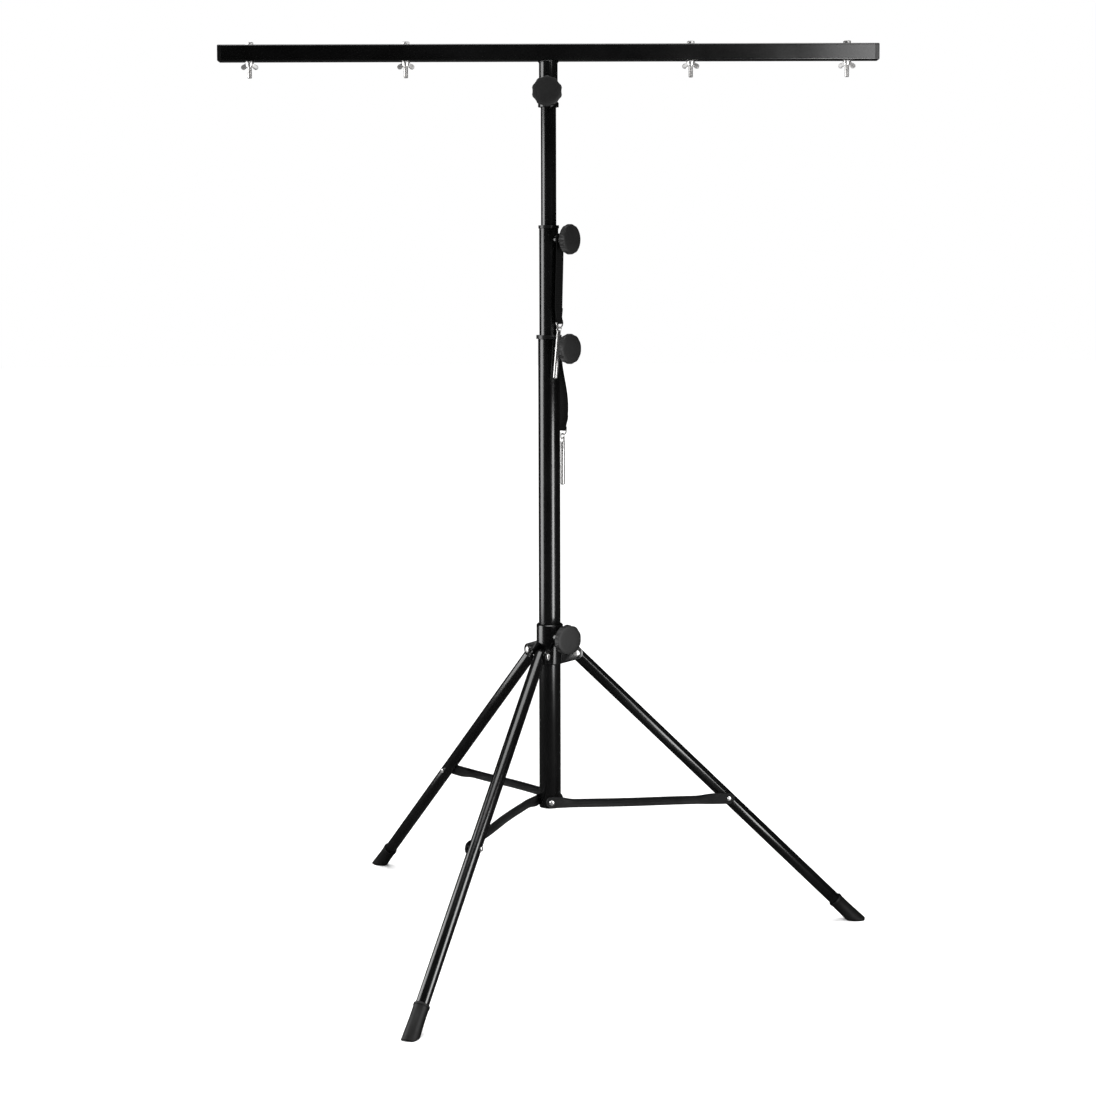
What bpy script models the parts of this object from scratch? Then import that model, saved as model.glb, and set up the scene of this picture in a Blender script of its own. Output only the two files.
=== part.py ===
"""Telescopic light stand with a folding tripod base and a T-bar, in metres, +Z up.

The mast's axis is Z through the origin and the feet stand on z = 0. A leg's azimuth is its angle
about Z from +X. Its brace lies on the clockwise side of it.
"""

import math

import bmesh
import bpy
from mathutils import Matrix, Vector

# Clearances and broken edges
FIT = 0.0003
GLIDE = 0.0005
EDGE = 0.001
FINE_EDGE = 0.0006

# Mast tubes: outer radius, wall, and the heights of their ends as the stand is set up
BASE_R = 0.020
BASE_WALL = 0.0015
BASE_BOTTOM = 0.2405
BASE_TOP = 1.1115
MIDDLE_PLAY = 0.001
MIDDLE_R = BASE_R - BASE_WALL - MIDDLE_PLAY
MIDDLE_WALL = 0.0015
MIDDLE_BOTTOM = 0.400
MIDDLE_TOP = 1.3115
UPPER_PLAY = 0.002
UPPER_R = MIDDLE_R - MIDDLE_WALL - UPPER_PLAY
UPPER_WALL = 0.0015
UPPER_BOTTOM = 0.640
UPPER_TOP = 1.600
LIP_TALL = 0.007
MIDDLE_LIP_TALL = 0.0055
LIP_WALL = 0.00295
MIDDLE_LIP_WALL = 0.00105
LIP_ROOF = 0.002
LIP_EDGE = 0.0008
GUIDE_TALL = 0.003
SPIGOT_TALL = 0.012
GUIDE_BORE_R = UPPER_R - 0.005
PLUG_FLANGE = 0.0018
PLUG_SPIGOT = 0.0026

# How far the two upper tubes still travel upwards, which sets where the safety-pin holes meet
MIDDLE_TRAVEL = 0.58
UPPER_TRAVEL = 0.55
PIN_HOLE_R = 0.005
PIN_HOLE_AZIMUTH = 7.5
BASE_PIN_HOLE_Z = BASE_TOP - 0.0665
MIDDLE_PIN_HOLE_Z = MIDDLE_TOP - 0.0765

# Star knobs, their studs and the welded bosses that the studs run in
KNOB_R = 0.0275
KNOB_LOBES = 10
LOBE_STEPS = 4
LOBE_DIP = 0.0017
KNOB_LONG = 0.022
KNOB_RIM = 0.0115
KNOB_HUB_R = 0.0105
KNOB_NECK_R = 0.0145
KNOB_SOCKET_DEEP = 0.014
STUD_R = 0.005
STUD_SHOWN = 0.0095
BOSS_R = STUD_R + 0.003
BOSS_TALL = 0.0047

# T-bar head, set on the upper tube's end
HEAD_AZIMUTH = -7.5
SLEEVE_R = UPPER_R + 0.003
SLEEVE_BOTTOM = UPPER_TOP - 0.072
SLEEVE_LIP = 0.00135
SLEEVE_LIP_TALL = 0.009
WELD = 0.002
BAR_SIDE = 0.030
BAR_WALL = 0.002
BAR_CORNER = 0.003
CORNER_STEPS = 3
BAR_LONG = 1.200
BAR_Z = UPPER_TOP + 0.011 + BAR_SIDE / 2
CAP_LONG = 0.0075
CAP_PLUG = 0.018
CAP_EDGE = 0.002
CAP_SHRINK = 0.003
OUTER_BOLT = BAR_LONG / 2 - 0.057
INNER_BOLT = OUTER_BOLT - 0.284
BOLT_REACHES = (-OUTER_BOLT, -INNER_BOLT, INNER_BOLT, OUTER_BOLT)
BOLT_R = 0.004
BOLT_LONG = 0.060
HEX_ACROSS = 0.013
HEX_TALL = 0.005
HEX_SIDES = 6
WING_SPAN = 0.031
WING_TALL = 0.0145
WING_THICK = 0.003
WING_HUB_R = BOLT_R + 0.0038
WING_HUB_TALL = 0.009
WING_HUB_STEP = 0.002
WING_HUB_TAPER = 0.0022
WING_TIP_R = 0.0045
WING_ROOT_R = 0.0028
WING_ROOT_OUT = 0.0035

# Leg collar, about the height of its knees
KNEE_Z = 0.527
COLLAR_BOTTOM = KNEE_Z - 0.020
COLLAR_TOP = KNEE_Z + 0.054
COLLAR_BORE_R = BASE_R + 0.002
COLLAR_R = COLLAR_BORE_R + 0.0025
COLLAR_CHAMFER = 0.002
CHEEK_THICK = 0.003
CHEEK_RISE = 0.021
CHEEK_NOSE_R = 0.012
CHEEK_NOSE_ARC = (-105, 72)
CHEEK_NOSE_STEPS = 9
KNUCKLE_R = BOSS_R + 0.002
LEG_AZIMUTHS = (0, 120, 240)

# Azimuth and height of each lock
HEAD_KNOB = (-100.5, SLEEVE_BOTTOM + 0.0244)
MIDDLE_KNOB = (-43.7, MIDDLE_TOP - 0.0241)
BASE_KNOB = (-49.1, BASE_TOP - 0.0227)
COLLAR_KNOB = (-60.0, KNEE_Z + 0.0304)

# Legs: the knee's radius, the floor point of the leg's axis, and the tube
LEG_R = 0.0115
KNEE_R = COLLAR_R + 2 * LEG_R
FLOOR_R = 0.586
LEG_WALL = 0.0015
LEG_NOSE = 0.0125
LEG_NOSE_ANGLES = (0, 30, 60, 90)
LEG_PLUG = 0.016
LEG_SHORT_OF_FLOOR = 0.020
PIVOT_R = 0.004
PIVOT_HEAD = 0.0033
PIVOT_HEAD_R = 0.0065
FOOT_R = LEG_R + 0.003
FOOT_LONG = 0.058
FOOT_RIM = 0.004
FOOT_PAST_FLOOR = 0.0096
FOOT_NECK = 0.0012
FOOT_GROOVE = 0.0004

# Braces: the pivot on the mast, the pivot on the leg, and the strut with its flattened ends
HUB_Z = BASE_BOTTOM + 0.010
BRACE_TO_LEG = 0.4038
BRACE_R = 0.008
FLAT_THICK = 0.003
FLAT_HALF = 0.0105
INNER_FLAT = 0.014
INNER_TAPER = 0.026
OUTER_FLAT = 0.030
OUTER_TAPER = 0.034
MAST_CLEAR = 0.115
TIP_ANGLES = (12, 35, 60)
TAPER_SHARES = (0.35, 0.65, 1)
BOW_SHARES = (0, 0.25, 0.5, 0.75, 1)
SIDE_STEPS = 6
RIVET_R = 0.003
RIVET_HEAD = 0.0024
RIVET_HEAD_R = 0.0043
HUB_BOLT_R = 0.003
HUB_BOLT_HEAD = 0.0034
HUB_BOLT_HEAD_R = 0.0050
HUB_NUT_R = 0.0055
HEAD_CROWN = 0.72
HEAD_SHOULDER = 0.55

# Webbing tethers with their rings
STRAP_WIDE = 0.022
STRAP_THICK = 0.0020
STRAP_LOOP_WIDE = 0.0164
STRAP_TUCK = 0.001
LOOP_WALL = 0.0012
RING_WIRE = 0.00125
RING_HALF = 0.010
RING_CORNER = RING_HALF - 0.00015
RING_DROP = 0.0006
RING_ARC = (188, 352)
RING_STEPS = 10
LINK_WIRE = 0.001
LINK_R = 0.005
LINK_STEPS = 11
FIRST_OUT = MIDDLE_R + BOSS_TALL + 0.00285
FIRST_TOP = STUD_R + 0.006
FIRST_SHOULDER = 0.003
FIRST_SHOULDER_WIDE = 0.01584
FIRST_SHARES = (0.12, 0.3, 0.5, 0.7, 0.86, 0.95, 1.0)
FIRST_NARROW = 0.9
FIRST_RING = (MIDDLE_R + 0.01074, -0.0059, BASE_TOP + 0.025)
FIRST_TILT = 8.0
SECOND_AZIMUTH = 40.0
SECOND_RING_R = BASE_R + 0.0165
SECOND_RING_Z = BASE_TOP - 0.173
SECOND_TOP = BASE_TOP - 0.0215
SECOND_BULGE = 0.0095
SECOND_SHARES = (0.0, 0.05, 0.14, 0.25, 0.4, 0.55, 0.7, 0.82, 0.9, 0.96, 1.0)
SECOND_NARROW = 0.1

# Safety pins
PIN_R = 0.00425
PIN_LONG = 0.089
PIN_NOSE = 0.002
PIN_EYE = 0.0085
PIN_EYE_RISE = 0.0035
PIN_EYE_THICK = 0.003
PIN_FLARE = 0.004
PIN_BLOCK = 0.01

# Facets
ROUND = 24
SMALL_ROUND = 12
WIRE_ROUND = 6
SHARP_ANGLE = 35

MERGE = 1e-6
THROUGH = 0.05
LONG_THROUGH = 1.0


def clear_scene():
    for thing in list(bpy.data.objects):
        bpy.data.objects.remove(thing, do_unlink=True)


def finish(name, colour, roughness, metallic):
    material = bpy.data.materials.new(name)
    material.use_nodes = True
    shader = material.node_tree.nodes["Principled BSDF"]
    shader.inputs["Base Color"].default_value = (*colour, 1)
    shader.inputs["Roughness"].default_value = roughness
    shader.inputs["Metallic"].default_value = metallic
    return material


def empty(name, parent=None, place=Matrix()):
    frame = bpy.data.objects.new(name, None)
    bpy.context.scene.collection.objects.link(frame)
    frame.parent = parent
    frame.matrix_basis = place
    return frame


def add(name, mesh, material, parent, place=Matrix()):
    """A named piece. Copies of one mesh are objects of their own."""
    piece = bpy.data.objects.new(name, mesh)
    bpy.context.scene.collection.objects.link(piece)
    if not mesh.materials:
        mesh.materials.append(material)
    mesh.shade_smooth()
    mesh.set_sharp_from_angle(angle=math.radians(SHARP_ANGLE))
    piece.parent = parent
    piece.matrix_basis = place
    return piece


def turn(degrees, axis="Z"):
    return Matrix.Rotation(math.radians(degrees), 4, axis)


def shift(x=0.0, y=0.0, z=0.0):
    return Matrix.Translation((x, y, z))


ALONG_X = turn(90, "Y")
ALONG_Y = turn(-90, "X")


def mesh_of(bm, place=Matrix()):
    bmesh.ops.remove_doubles(bm, verts=bm.verts, dist=MERGE)
    bmesh.ops.recalc_face_normals(bm, faces=bm.faces)
    mesh = bpy.data.meshes.new("piece")
    bm.to_mesh(mesh)
    bm.free()
    mesh.transform(place)
    return mesh


def turned(profile, steps=ROUND, place=Matrix()):
    """The closed profile of (radius, height) points spun about Z, with no skin along the axis itself."""
    bm = bmesh.new()
    points = [bm.verts.new((radius, 0, height)) for radius, height in profile]
    pairs = zip(points, points[1:] + points[:1])
    edges = [bm.edges.new(pair) for pair in pairs if pair[0].co.x or pair[1].co.x]
    bmesh.ops.spin(
        bm, geom=points + edges, cent=(0, 0, 0), axis=(0, 0, 1), angle=math.tau, steps=steps, use_merge=True
    )
    return mesh_of(bm, place)


def rod(radius, low, high, steps=SMALL_ROUND, place=Matrix(), chamfer=0.0):
    """A round bar along Z from low to high."""
    profile = [(0, low), (radius - chamfer, low), (radius, low + chamfer)]
    profile += [(radius, high - chamfer), (radius - chamfer, high), (0, high)]
    return turned(profile if chamfer else [profile[0], profile[1], profile[4], profile[5]], steps, place)


def sleeve(outer, inner, low, high, steps=ROUND, place=Matrix()):
    """A round tube along Z from low to high."""
    return turned([(inner, low), (outer, low), (outer, high), (inner, high)], steps, place)


def lofted(rings, closed=False, place=Matrix()):
    """A skin through rings of equally many points, with its ends filled unless it closes on itself."""
    bm = bmesh.new()
    loops = [[bm.verts.new(point) for point in ring] for ring in rings]
    following = loops[1:] + loops[:1] if closed else loops[1:]
    for low, high in zip(loops, following):
        for index in range(len(low)):
            after = (index + 1) % len(low)
            bm.faces.new((low[index], low[after], high[after], high[index]))
    if not closed:
        bm.faces.new(loops[0])
        bm.faces.new(loops[-1])
    return mesh_of(bm, place)


def plate(outline, low, high, place=Matrix()):
    """An outline of (x, z) points, extruded along Y from low to high."""
    return lofted([[(x, y, z) for x, z in outline] for y in (low, high)], place=place)


def arc(centre, radius, start, end, steps):
    """Points of an arc in degrees, ends included."""
    angles = [math.radians(start + (end - start) * step / steps) for step in range(steps + 1)]
    return [(centre[0] + radius * math.cos(a), centre[1] + radius * math.sin(a)) for a in angles]


def combined(mesh, tools, operation):
    """The mesh after the tools are cut from it (DIFFERENCE) or joined to it (UNION)."""
    scene = bpy.context.scene.collection
    work = bpy.data.objects.new("work", mesh)
    scene.objects.link(work)
    helpers = [bpy.data.objects.new("tool", tool) for tool in tools]
    for helper in helpers:
        scene.objects.link(helper)
        step = work.modifiers.new("step", "BOOLEAN")
        step.operation = operation
        step.object = helper
    bpy.context.view_layer.update()
    graph = bpy.context.evaluated_depsgraph_get()
    result = bpy.data.meshes.new_from_object(work.evaluated_get(graph))
    for helper in [work, *helpers]:
        bpy.data.objects.remove(helper, do_unlink=True)
    return result


def cut(mesh, *tools):
    return combined(mesh, tools, "DIFFERENCE")


def joined(mesh, *tools):
    return combined(mesh, tools, "UNION")


def radial(azimuth, height=0.0):
    """A place whose +X points outwards from the mast at this azimuth and height."""
    return turn(azimuth) @ shift(z=height)


def cross_hole(radius, azimuth, height):
    """A drill that passes right through the mast."""
    return rod(radius, -THROUGH, THROUGH, place=radial(azimuth, height) @ ALONG_X)


def stud_hole(azimuth, height):
    """A drill from the mast's axis outwards, for a lock's stud."""
    return rod(STUD_R + FIT, 0, THROUGH, place=radial(azimuth, height) @ ALONG_X)


def star_ring(along, radius):
    """One ring of a star knob: shallow hollows that meet in points."""
    points = []
    for index in range(KNOB_LOBES * LOBE_STEPS):
        dip = LOBE_DIP * math.sin(math.pi * (index % LOBE_STEPS) / LOBE_STEPS)
        angle = math.tau * index / (KNOB_LOBES * LOBE_STEPS)
        reach = (radius - dip) if radius > KNOB_NECK_R else radius
        points.append((along, reach * math.cos(angle), reach * math.sin(angle)))
    return points


def star_knob():
    """Along +X from the hub's end: blind hole, hub, undercut, scalloped rim and slightly domed face."""
    rim = KNOB_LONG - KNOB_RIM
    stations = [
        (KNOB_SOCKET_DEEP, STUD_R + FIT),
        (0, STUD_R + FIT),
        (0, KNOB_HUB_R),
        (rim - 5 * EDGE, KNOB_NECK_R),
        (rim, KNOB_R - 2 * EDGE),
        (rim + 1.5 * EDGE, KNOB_R),
        (KNOB_LONG - 3.5 * EDGE, KNOB_R - EDGE / 2),
        (KNOB_LONG - EDGE, KNOB_R - 2 * EDGE),
        (KNOB_LONG, KNOB_R - 8 * EDGE),
    ]
    return lofted([star_ring(along, radius) for along, radius in stations])


def boss(tube_r):
    """A round boss whose foot is hollowed to sit on a tube, along +X from the mast's axis."""
    body = turned(
        [
            (STUD_R + FIT, tube_r / 2),
            (BOSS_R, tube_r / 2),
            (BOSS_R, tube_r + BOSS_TALL - EDGE),
            (BOSS_R - EDGE, tube_r + BOSS_TALL),
            (STUD_R + FIT, tube_r + BOSS_TALL),
        ],
        SMALL_ROUND,
        ALONG_X,
    )
    return cut(body, rod(tube_r + FIT, -THROUGH, THROUGH, ROUND))


def stud(inner_r, knob_from):
    """The lock's threaded stud, from the tube that it presses on into the knob."""
    end = knob_from + KNOB_SOCKET_DEEP - FIT
    return rod(STUD_R, inner_r + FIT, end, place=ALONG_X, chamfer=EDGE)


def lock(name, body, place, tube_r, inner_r, finishes):
    """Stud and knob on one joint axis, both along the +X of an empty."""
    azimuth, height = place
    frame = empty(name + "_lock", body, radial(azimuth, height))
    knob_from = tube_r + BOSS_TALL + STUD_SHOWN
    add(name + "_screw", stud(inner_r, knob_from), finishes["bright"], frame)
    add(name + "_knob", star_knob(), finishes["knob"], frame, shift(knob_from))


def lip(tube_r, through_r, tube_top, tall, wall):
    """A plastic ring that caps a tube's end and guides the next tube."""
    roof = tube_top + FIT
    outer = tube_r + FIT + wall
    top = tube_top + LIP_ROOF
    return turned(
        [
            (tube_r + FIT, top - tall),
            (outer, top - tall),
            (outer, top - LIP_EDGE),
            (outer - LIP_EDGE, top),
            (through_r + FIT, top),
            (through_r + FIT, roof),
            (tube_r + FIT, roof),
        ]
    )


def guide(outer_r, tube_r, wall, bottom):
    """A ring on a tube's lower end: its flange runs in the wider tube, its spigot sits inside this one."""
    spigot = tube_r - wall - FIT
    return turned(
        [
            (GUIDE_BORE_R, bottom - FIT - GUIDE_TALL),
            (outer_r, bottom - FIT - GUIDE_TALL),
            (outer_r, bottom - FIT),
            (spigot, bottom - FIT),
            (spigot, bottom + SPIGOT_TALL),
            (GUIDE_BORE_R, bottom + SPIGOT_TALL),
        ]
    )


def make_mast(finishes):
    root = empty("mast")
    tube = sleeve(BASE_R, BASE_R - BASE_WALL, BASE_BOTTOM, BASE_TOP)
    bores = [stud_hole(*BASE_KNOB), cross_hole(PIN_HOLE_R, PIN_HOLE_AZIMUTH, BASE_PIN_HOLE_Z)]
    for azimuth in LEG_AZIMUTHS:
        bore = radial(azimuth - 90, HUB_Z) @ ALONG_X
        bores.append(rod(HUB_BOLT_R + FIT, 0, THROUGH, place=bore))
    add("base_tube", cut(tube, *bores), finishes["black"], root)
    plug_r = BASE_R - BASE_WALL - FIT
    plug_top = BASE_BOTTOM - FIT
    plug = turned(
        [
            (0, plug_top - PLUG_FLANGE),
            (BASE_R - FINE_EDGE, plug_top - PLUG_FLANGE),
            (BASE_R, plug_top - PLUG_FLANGE + FINE_EDGE),
            (BASE_R, plug_top),
            (plug_r, plug_top),
            (plug_r, BASE_BOTTOM + PLUG_SPIGOT),
            (0, BASE_BOTTOM + PLUG_SPIGOT),
        ]
    )
    add("base_plug", plug, finishes["plastic"], root)
    add("stage_1_lip", lip(BASE_R, MIDDLE_R, BASE_TOP, LIP_TALL, LIP_WALL), finishes["plastic"], root)
    add("stage_1_boss", boss(BASE_R), finishes["black"], root, radial(*BASE_KNOB))
    lock("stage_1", root, BASE_KNOB, BASE_R, MIDDLE_R, finishes)
    return root


def make_middle(root, finishes):
    stage = empty("stage_2", root)
    tube = sleeve(MIDDLE_R, MIDDLE_R - MIDDLE_WALL, MIDDLE_BOTTOM, MIDDLE_TOP)
    lower_hole = BASE_PIN_HOLE_Z - MIDDLE_TRAVEL
    bores = [cross_hole(PIN_HOLE_R, PIN_HOLE_AZIMUTH, z) for z in (lower_hole, MIDDLE_PIN_HOLE_Z)]
    add("stage_2_tube", cut(tube, stud_hole(*MIDDLE_KNOB), *bores), finishes["black"], stage)
    ring = lip(MIDDLE_R, UPPER_R, MIDDLE_TOP, MIDDLE_LIP_TALL, MIDDLE_LIP_WALL)
    add("stage_2_lip", ring, finishes["plastic"], stage)
    foot = guide(BASE_R - BASE_WALL - GLIDE, MIDDLE_R, MIDDLE_WALL, MIDDLE_BOTTOM)
    add("stage_2_guide", foot, finishes["plastic"], stage)
    add("stage_2_boss", boss(MIDDLE_R), finishes["black"], stage, radial(*MIDDLE_KNOB))
    lock("stage_2", stage, MIDDLE_KNOB, MIDDLE_R, UPPER_R, finishes)
    return stage


def make_upper(stage, finishes):
    upper = empty("stage_3", stage)
    tube = sleeve(UPPER_R, UPPER_R - UPPER_WALL, UPPER_BOTTOM, UPPER_TOP)
    bore = cross_hole(PIN_HOLE_R, PIN_HOLE_AZIMUTH, MIDDLE_PIN_HOLE_Z - UPPER_TRAVEL)
    add("stage_3_tube", cut(tube, bore), finishes["black"], upper)
    foot = guide(MIDDLE_R - MIDDLE_WALL - GLIDE, UPPER_R, UPPER_WALL, UPPER_BOTTOM)
    add("stage_3_guide", foot, finishes["plastic"], upper)
    return upper


def rounded_square(side, corner, along):
    """Ring of a square section with rounded corners, across the X axis."""
    points = []
    for quarter in range(4):
        spot = side / 2 - corner
        ways = ((1, 1), (-1, 1), (-1, -1), (1, -1))[quarter]
        centre = (spot * ways[0], spot * ways[1])
        points += arc(centre, corner, quarter * 90, quarter * 90 + 90, CORNER_STEPS)
    return [(along, y, z) for y, z in points]


def bar_tube():
    half = BAR_LONG / 2 - CAP_LONG - FIT
    inside = BAR_SIDE - 2 * BAR_WALL
    ends = [
        rounded_square(BAR_SIDE, BAR_CORNER, -half),
        rounded_square(BAR_SIDE, BAR_CORNER, half),
        rounded_square(inside, BAR_CORNER - BAR_WALL, half),
        rounded_square(inside, BAR_CORNER - BAR_WALL, -half),
    ]
    tube = lofted(ends, closed=True)
    bores = [rod(BOLT_R + FIT, -THROUGH, THROUGH, place=shift(reach)) for reach in BOLT_REACHES]
    return cut(tube, *bores)


def bar_cap():
    """Plug and flange of one end, with its outer face towards +X."""
    half = BAR_LONG / 2
    plug = BAR_SIDE - 2 * BAR_WALL - 2 * FIT
    start = half - CAP_LONG
    rings = [
        rounded_square(plug, BAR_CORNER - BAR_WALL, start - CAP_PLUG),
        rounded_square(plug, BAR_CORNER - BAR_WALL, start),
        rounded_square(BAR_SIDE, BAR_CORNER, start),
        rounded_square(BAR_SIDE, BAR_CORNER, half - CAP_EDGE),
        rounded_square(BAR_SIDE - CAP_SHRINK, BAR_CORNER, half),
    ]
    return lofted(rings)


def hex_bolt():
    """Head above the bar's top face and shank down through it, from z = 0 at that face."""
    rise = FIT + HEX_TALL
    corner = HEX_ACROSS / math.sqrt(3)
    profile = [
        (0, FIT),
        (corner, FIT),
        (corner, rise - FINE_EDGE),
        (corner - EDGE, rise),
        (0, rise),
    ]
    shank = rod(BOLT_R, -BOLT_LONG, rise / 2, chamfer=EDGE)
    return joined(turned(profile, HEX_SIDES), shank)


def wing_nut():
    """A hub with two ears that point down and outwards, from z = 0 at the bar's underside."""
    hub = turned(
        [
            (0, -FIT),
            (WING_HUB_R, -FIT),
            (WING_HUB_R, -WING_HUB_STEP),
            (WING_HUB_R - WING_HUB_TAPER, -WING_HUB_TALL),
            (0, -WING_HUB_TALL),
        ],
        SMALL_ROUND,
    )
    ears = []
    for side in (-1, 1):
        far = (side * (WING_SPAN / 2 - WING_TIP_R), WING_TIP_R - WING_TALL)
        near = (side * WING_ROOT_OUT, -WING_HUB_TALL / 2)
        ears.append(plate(capsule(near, far, WING_ROOT_R, WING_TIP_R), -WING_THICK / 2, WING_THICK / 2))
    nut = joined(hub, *ears)
    return cut(nut, rod(BOLT_R + FIT, -THROUGH, THROUGH))


def capsule(near, far, near_r, far_r, steps=5):
    """Outline round two circles, as an ear or a lever has."""
    heading = math.degrees(math.atan2(far[1] - near[1], far[0] - near[0]))
    outer = arc(far, far_r, heading - 90, heading + 90, steps)
    return outer + arc(near, near_r, heading + 90, heading + 270, steps)


def socket():
    """The sleeve welded under the bar, with a rolled lip at its mouth and a weld bead at its top."""
    top = BAR_Z - BAR_SIDE / 2 - FIT
    body = turned(
        [
            (UPPER_R + FIT, SLEEVE_BOTTOM),
            (SLEEVE_R + SLEEVE_LIP, SLEEVE_BOTTOM),
            (SLEEVE_R + SLEEVE_LIP, SLEEVE_BOTTOM + SLEEVE_LIP_TALL - SLEEVE_LIP),
            (SLEEVE_R, SLEEVE_BOTTOM + SLEEVE_LIP_TALL),
            (SLEEVE_R, top - WELD),
            (SLEEVE_R + WELD, top),
            (UPPER_R + FIT, top),
        ]
    )
    return cut(body, stud_hole(HEAD_KNOB[0] - HEAD_AZIMUTH, HEAD_KNOB[1]))


def make_head(upper, finishes):
    head = empty("t_head", upper, turn(HEAD_AZIMUTH))
    knob = (HEAD_KNOB[0] - HEAD_AZIMUTH, HEAD_KNOB[1])
    add("t_socket", socket(), finishes["black"], head)
    add("socket_boss", boss(SLEEVE_R), finishes["black"], head, radial(*knob))
    lock("socket", head, knob, SLEEVE_R, UPPER_R, finishes)
    middle = shift(z=BAR_Z)
    add("t_bar", bar_tube(), finishes["black"], head, middle)
    cap = bar_cap()
    add("bar_cap_left", cap, finishes["plastic"], head, middle @ turn(180))
    add("bar_cap_right", cap, finishes["plastic"], head, middle)
    bolt = hex_bolt()
    nut = wing_nut()
    for number, reach in enumerate(BOLT_REACHES, 1):
        spot = empty(f"bolt_axis_{number}", head, middle @ shift(reach))
        add(f"hex_bolt_{number}", bolt, finishes["bright"], spot, shift(z=BAR_SIDE / 2))
        add(f"wing_nut_{number}", nut, finishes["bright"], spot, shift(z=-BAR_SIDE / 2))


def collar_casting():
    """The sliding collar: a sleeve with three forks for the legs and a boss for the lock, from its own z."""
    rise = COLLAR_TOP - KNEE_Z
    drop = COLLAR_BOTTOM - KNEE_Z
    body = rod(COLLAR_R, drop, rise, ROUND, chamfer=COLLAR_CHAMFER)
    nose = arc((KNEE_R, 0), CHEEK_NOSE_R, *CHEEK_NOSE_ARC, CHEEK_NOSE_STEPS)
    outline = [(BASE_R, drop + EDGE), *nose, (BASE_R, CHEEK_RISE)]
    inner = LEG_R + FIT
    cheeks = []
    for azimuth in LEG_AZIMUTHS:
        for low in (-inner - CHEEK_THICK, inner):
            cheeks.append(plate(outline, low, low + CHEEK_THICK, turn(azimuth)))
    azimuth, height = COLLAR_KNOB
    spot = radial(azimuth, height - KNEE_Z) @ ALONG_X
    knuckle = rod(KNUCKLE_R, 0, COLLAR_R + BOSS_TALL, place=spot)
    casting = joined(body, *cheeks, knuckle)
    bores = [
        rod(COLLAR_BORE_R, -LONG_THROUGH, LONG_THROUGH, ROUND),
        stud_hole(azimuth, height - KNEE_Z),
    ]
    for azimuth in LEG_AZIMUTHS:
        pivot = turn(azimuth) @ shift(KNEE_R) @ ALONG_Y
        bores.append(rod(PIVOT_R + FIT, -THROUGH, THROUGH, place=pivot))
    return cut(casting, *bores)


def through_bolt(radius, low, high, head_r, head, nut_r=None):
    """A bolt along Z with its head below low and its nut above high, as one fitted solid."""
    nut = nut_r or head_r
    profile = [
        (0, low - head),
        (head_r * HEAD_CROWN, low - head),
        (head_r, low - head * HEAD_SHOULDER),
        (head_r, low),
        (radius, low),
        (radius, high),
        (nut, high),
        (nut, high + head * HEAD_SHOULDER),
        (nut * HEAD_CROWN, high + head),
        (0, high + head),
    ]
    return turned(profile, SMALL_ROUND, ALONG_Y)


def make_collar(root, finishes):
    collar = empty("collar", root, shift(z=KNEE_Z))
    add("leg_collar", collar_casting(), finishes["black"], collar)
    place = (COLLAR_KNOB[0], COLLAR_KNOB[1] - KNEE_Z)
    low = COLLAR_BOTTOM - KNEE_Z + EDGE
    high = COLLAR_TOP - KNEE_Z - EDGE
    liner = cut(sleeve(COLLAR_BORE_R - FIT, BASE_R + FIT, low, high), stud_hole(*place))
    add("collar_liner", liner, finishes["plastic"], collar)
    lock("collar", collar, place, COLLAR_R, BASE_R, finishes)
    reach = LEG_R + FIT + CHEEK_THICK + FIT
    bolt = through_bolt(PIVOT_R, -reach, reach, PIVOT_HEAD_R, PIVOT_HEAD)
    for number, azimuth in enumerate(LEG_AZIMUTHS, 1):
        add(f"leg_pivot_{number}", bolt, finishes["bright"], collar, turn(azimuth) @ shift(KNEE_R))
    return collar


def leg_length():
    return math.hypot(FLOOR_R - KNEE_R, KNEE_Z)


def leg_slope():
    """Degrees that the leg dips below the horizontal."""
    return math.degrees(math.atan2(KNEE_Z, FLOOR_R - KNEE_R))


def leg_tube():
    """From the knee at the origin along +X: a domed end fitting and a tube that is open at its foot."""
    end = leg_length() - LEG_SHORT_OF_FLOOR
    dome = [(LEG_R * math.sin(a), -LEG_NOSE * math.cos(a)) for a in map(math.radians, LEG_NOSE_ANGLES)]
    profile = dome + [
        (LEG_R, end),
        (LEG_R - LEG_WALL, end),
        (LEG_R - LEG_WALL, LEG_PLUG),
        (0, LEG_PLUG),
    ]
    tube = turned(profile, ROUND, ALONG_X)
    knee = rod(PIVOT_R + FIT, -THROUGH, THROUGH, place=ALONG_Y)
    rivet = rod(RIVET_R + 2 * FIT, -THROUGH, THROUGH, place=shift(BRACE_TO_LEG) @ ALONG_Y)
    return cut(tube, knee, rivet)


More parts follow.
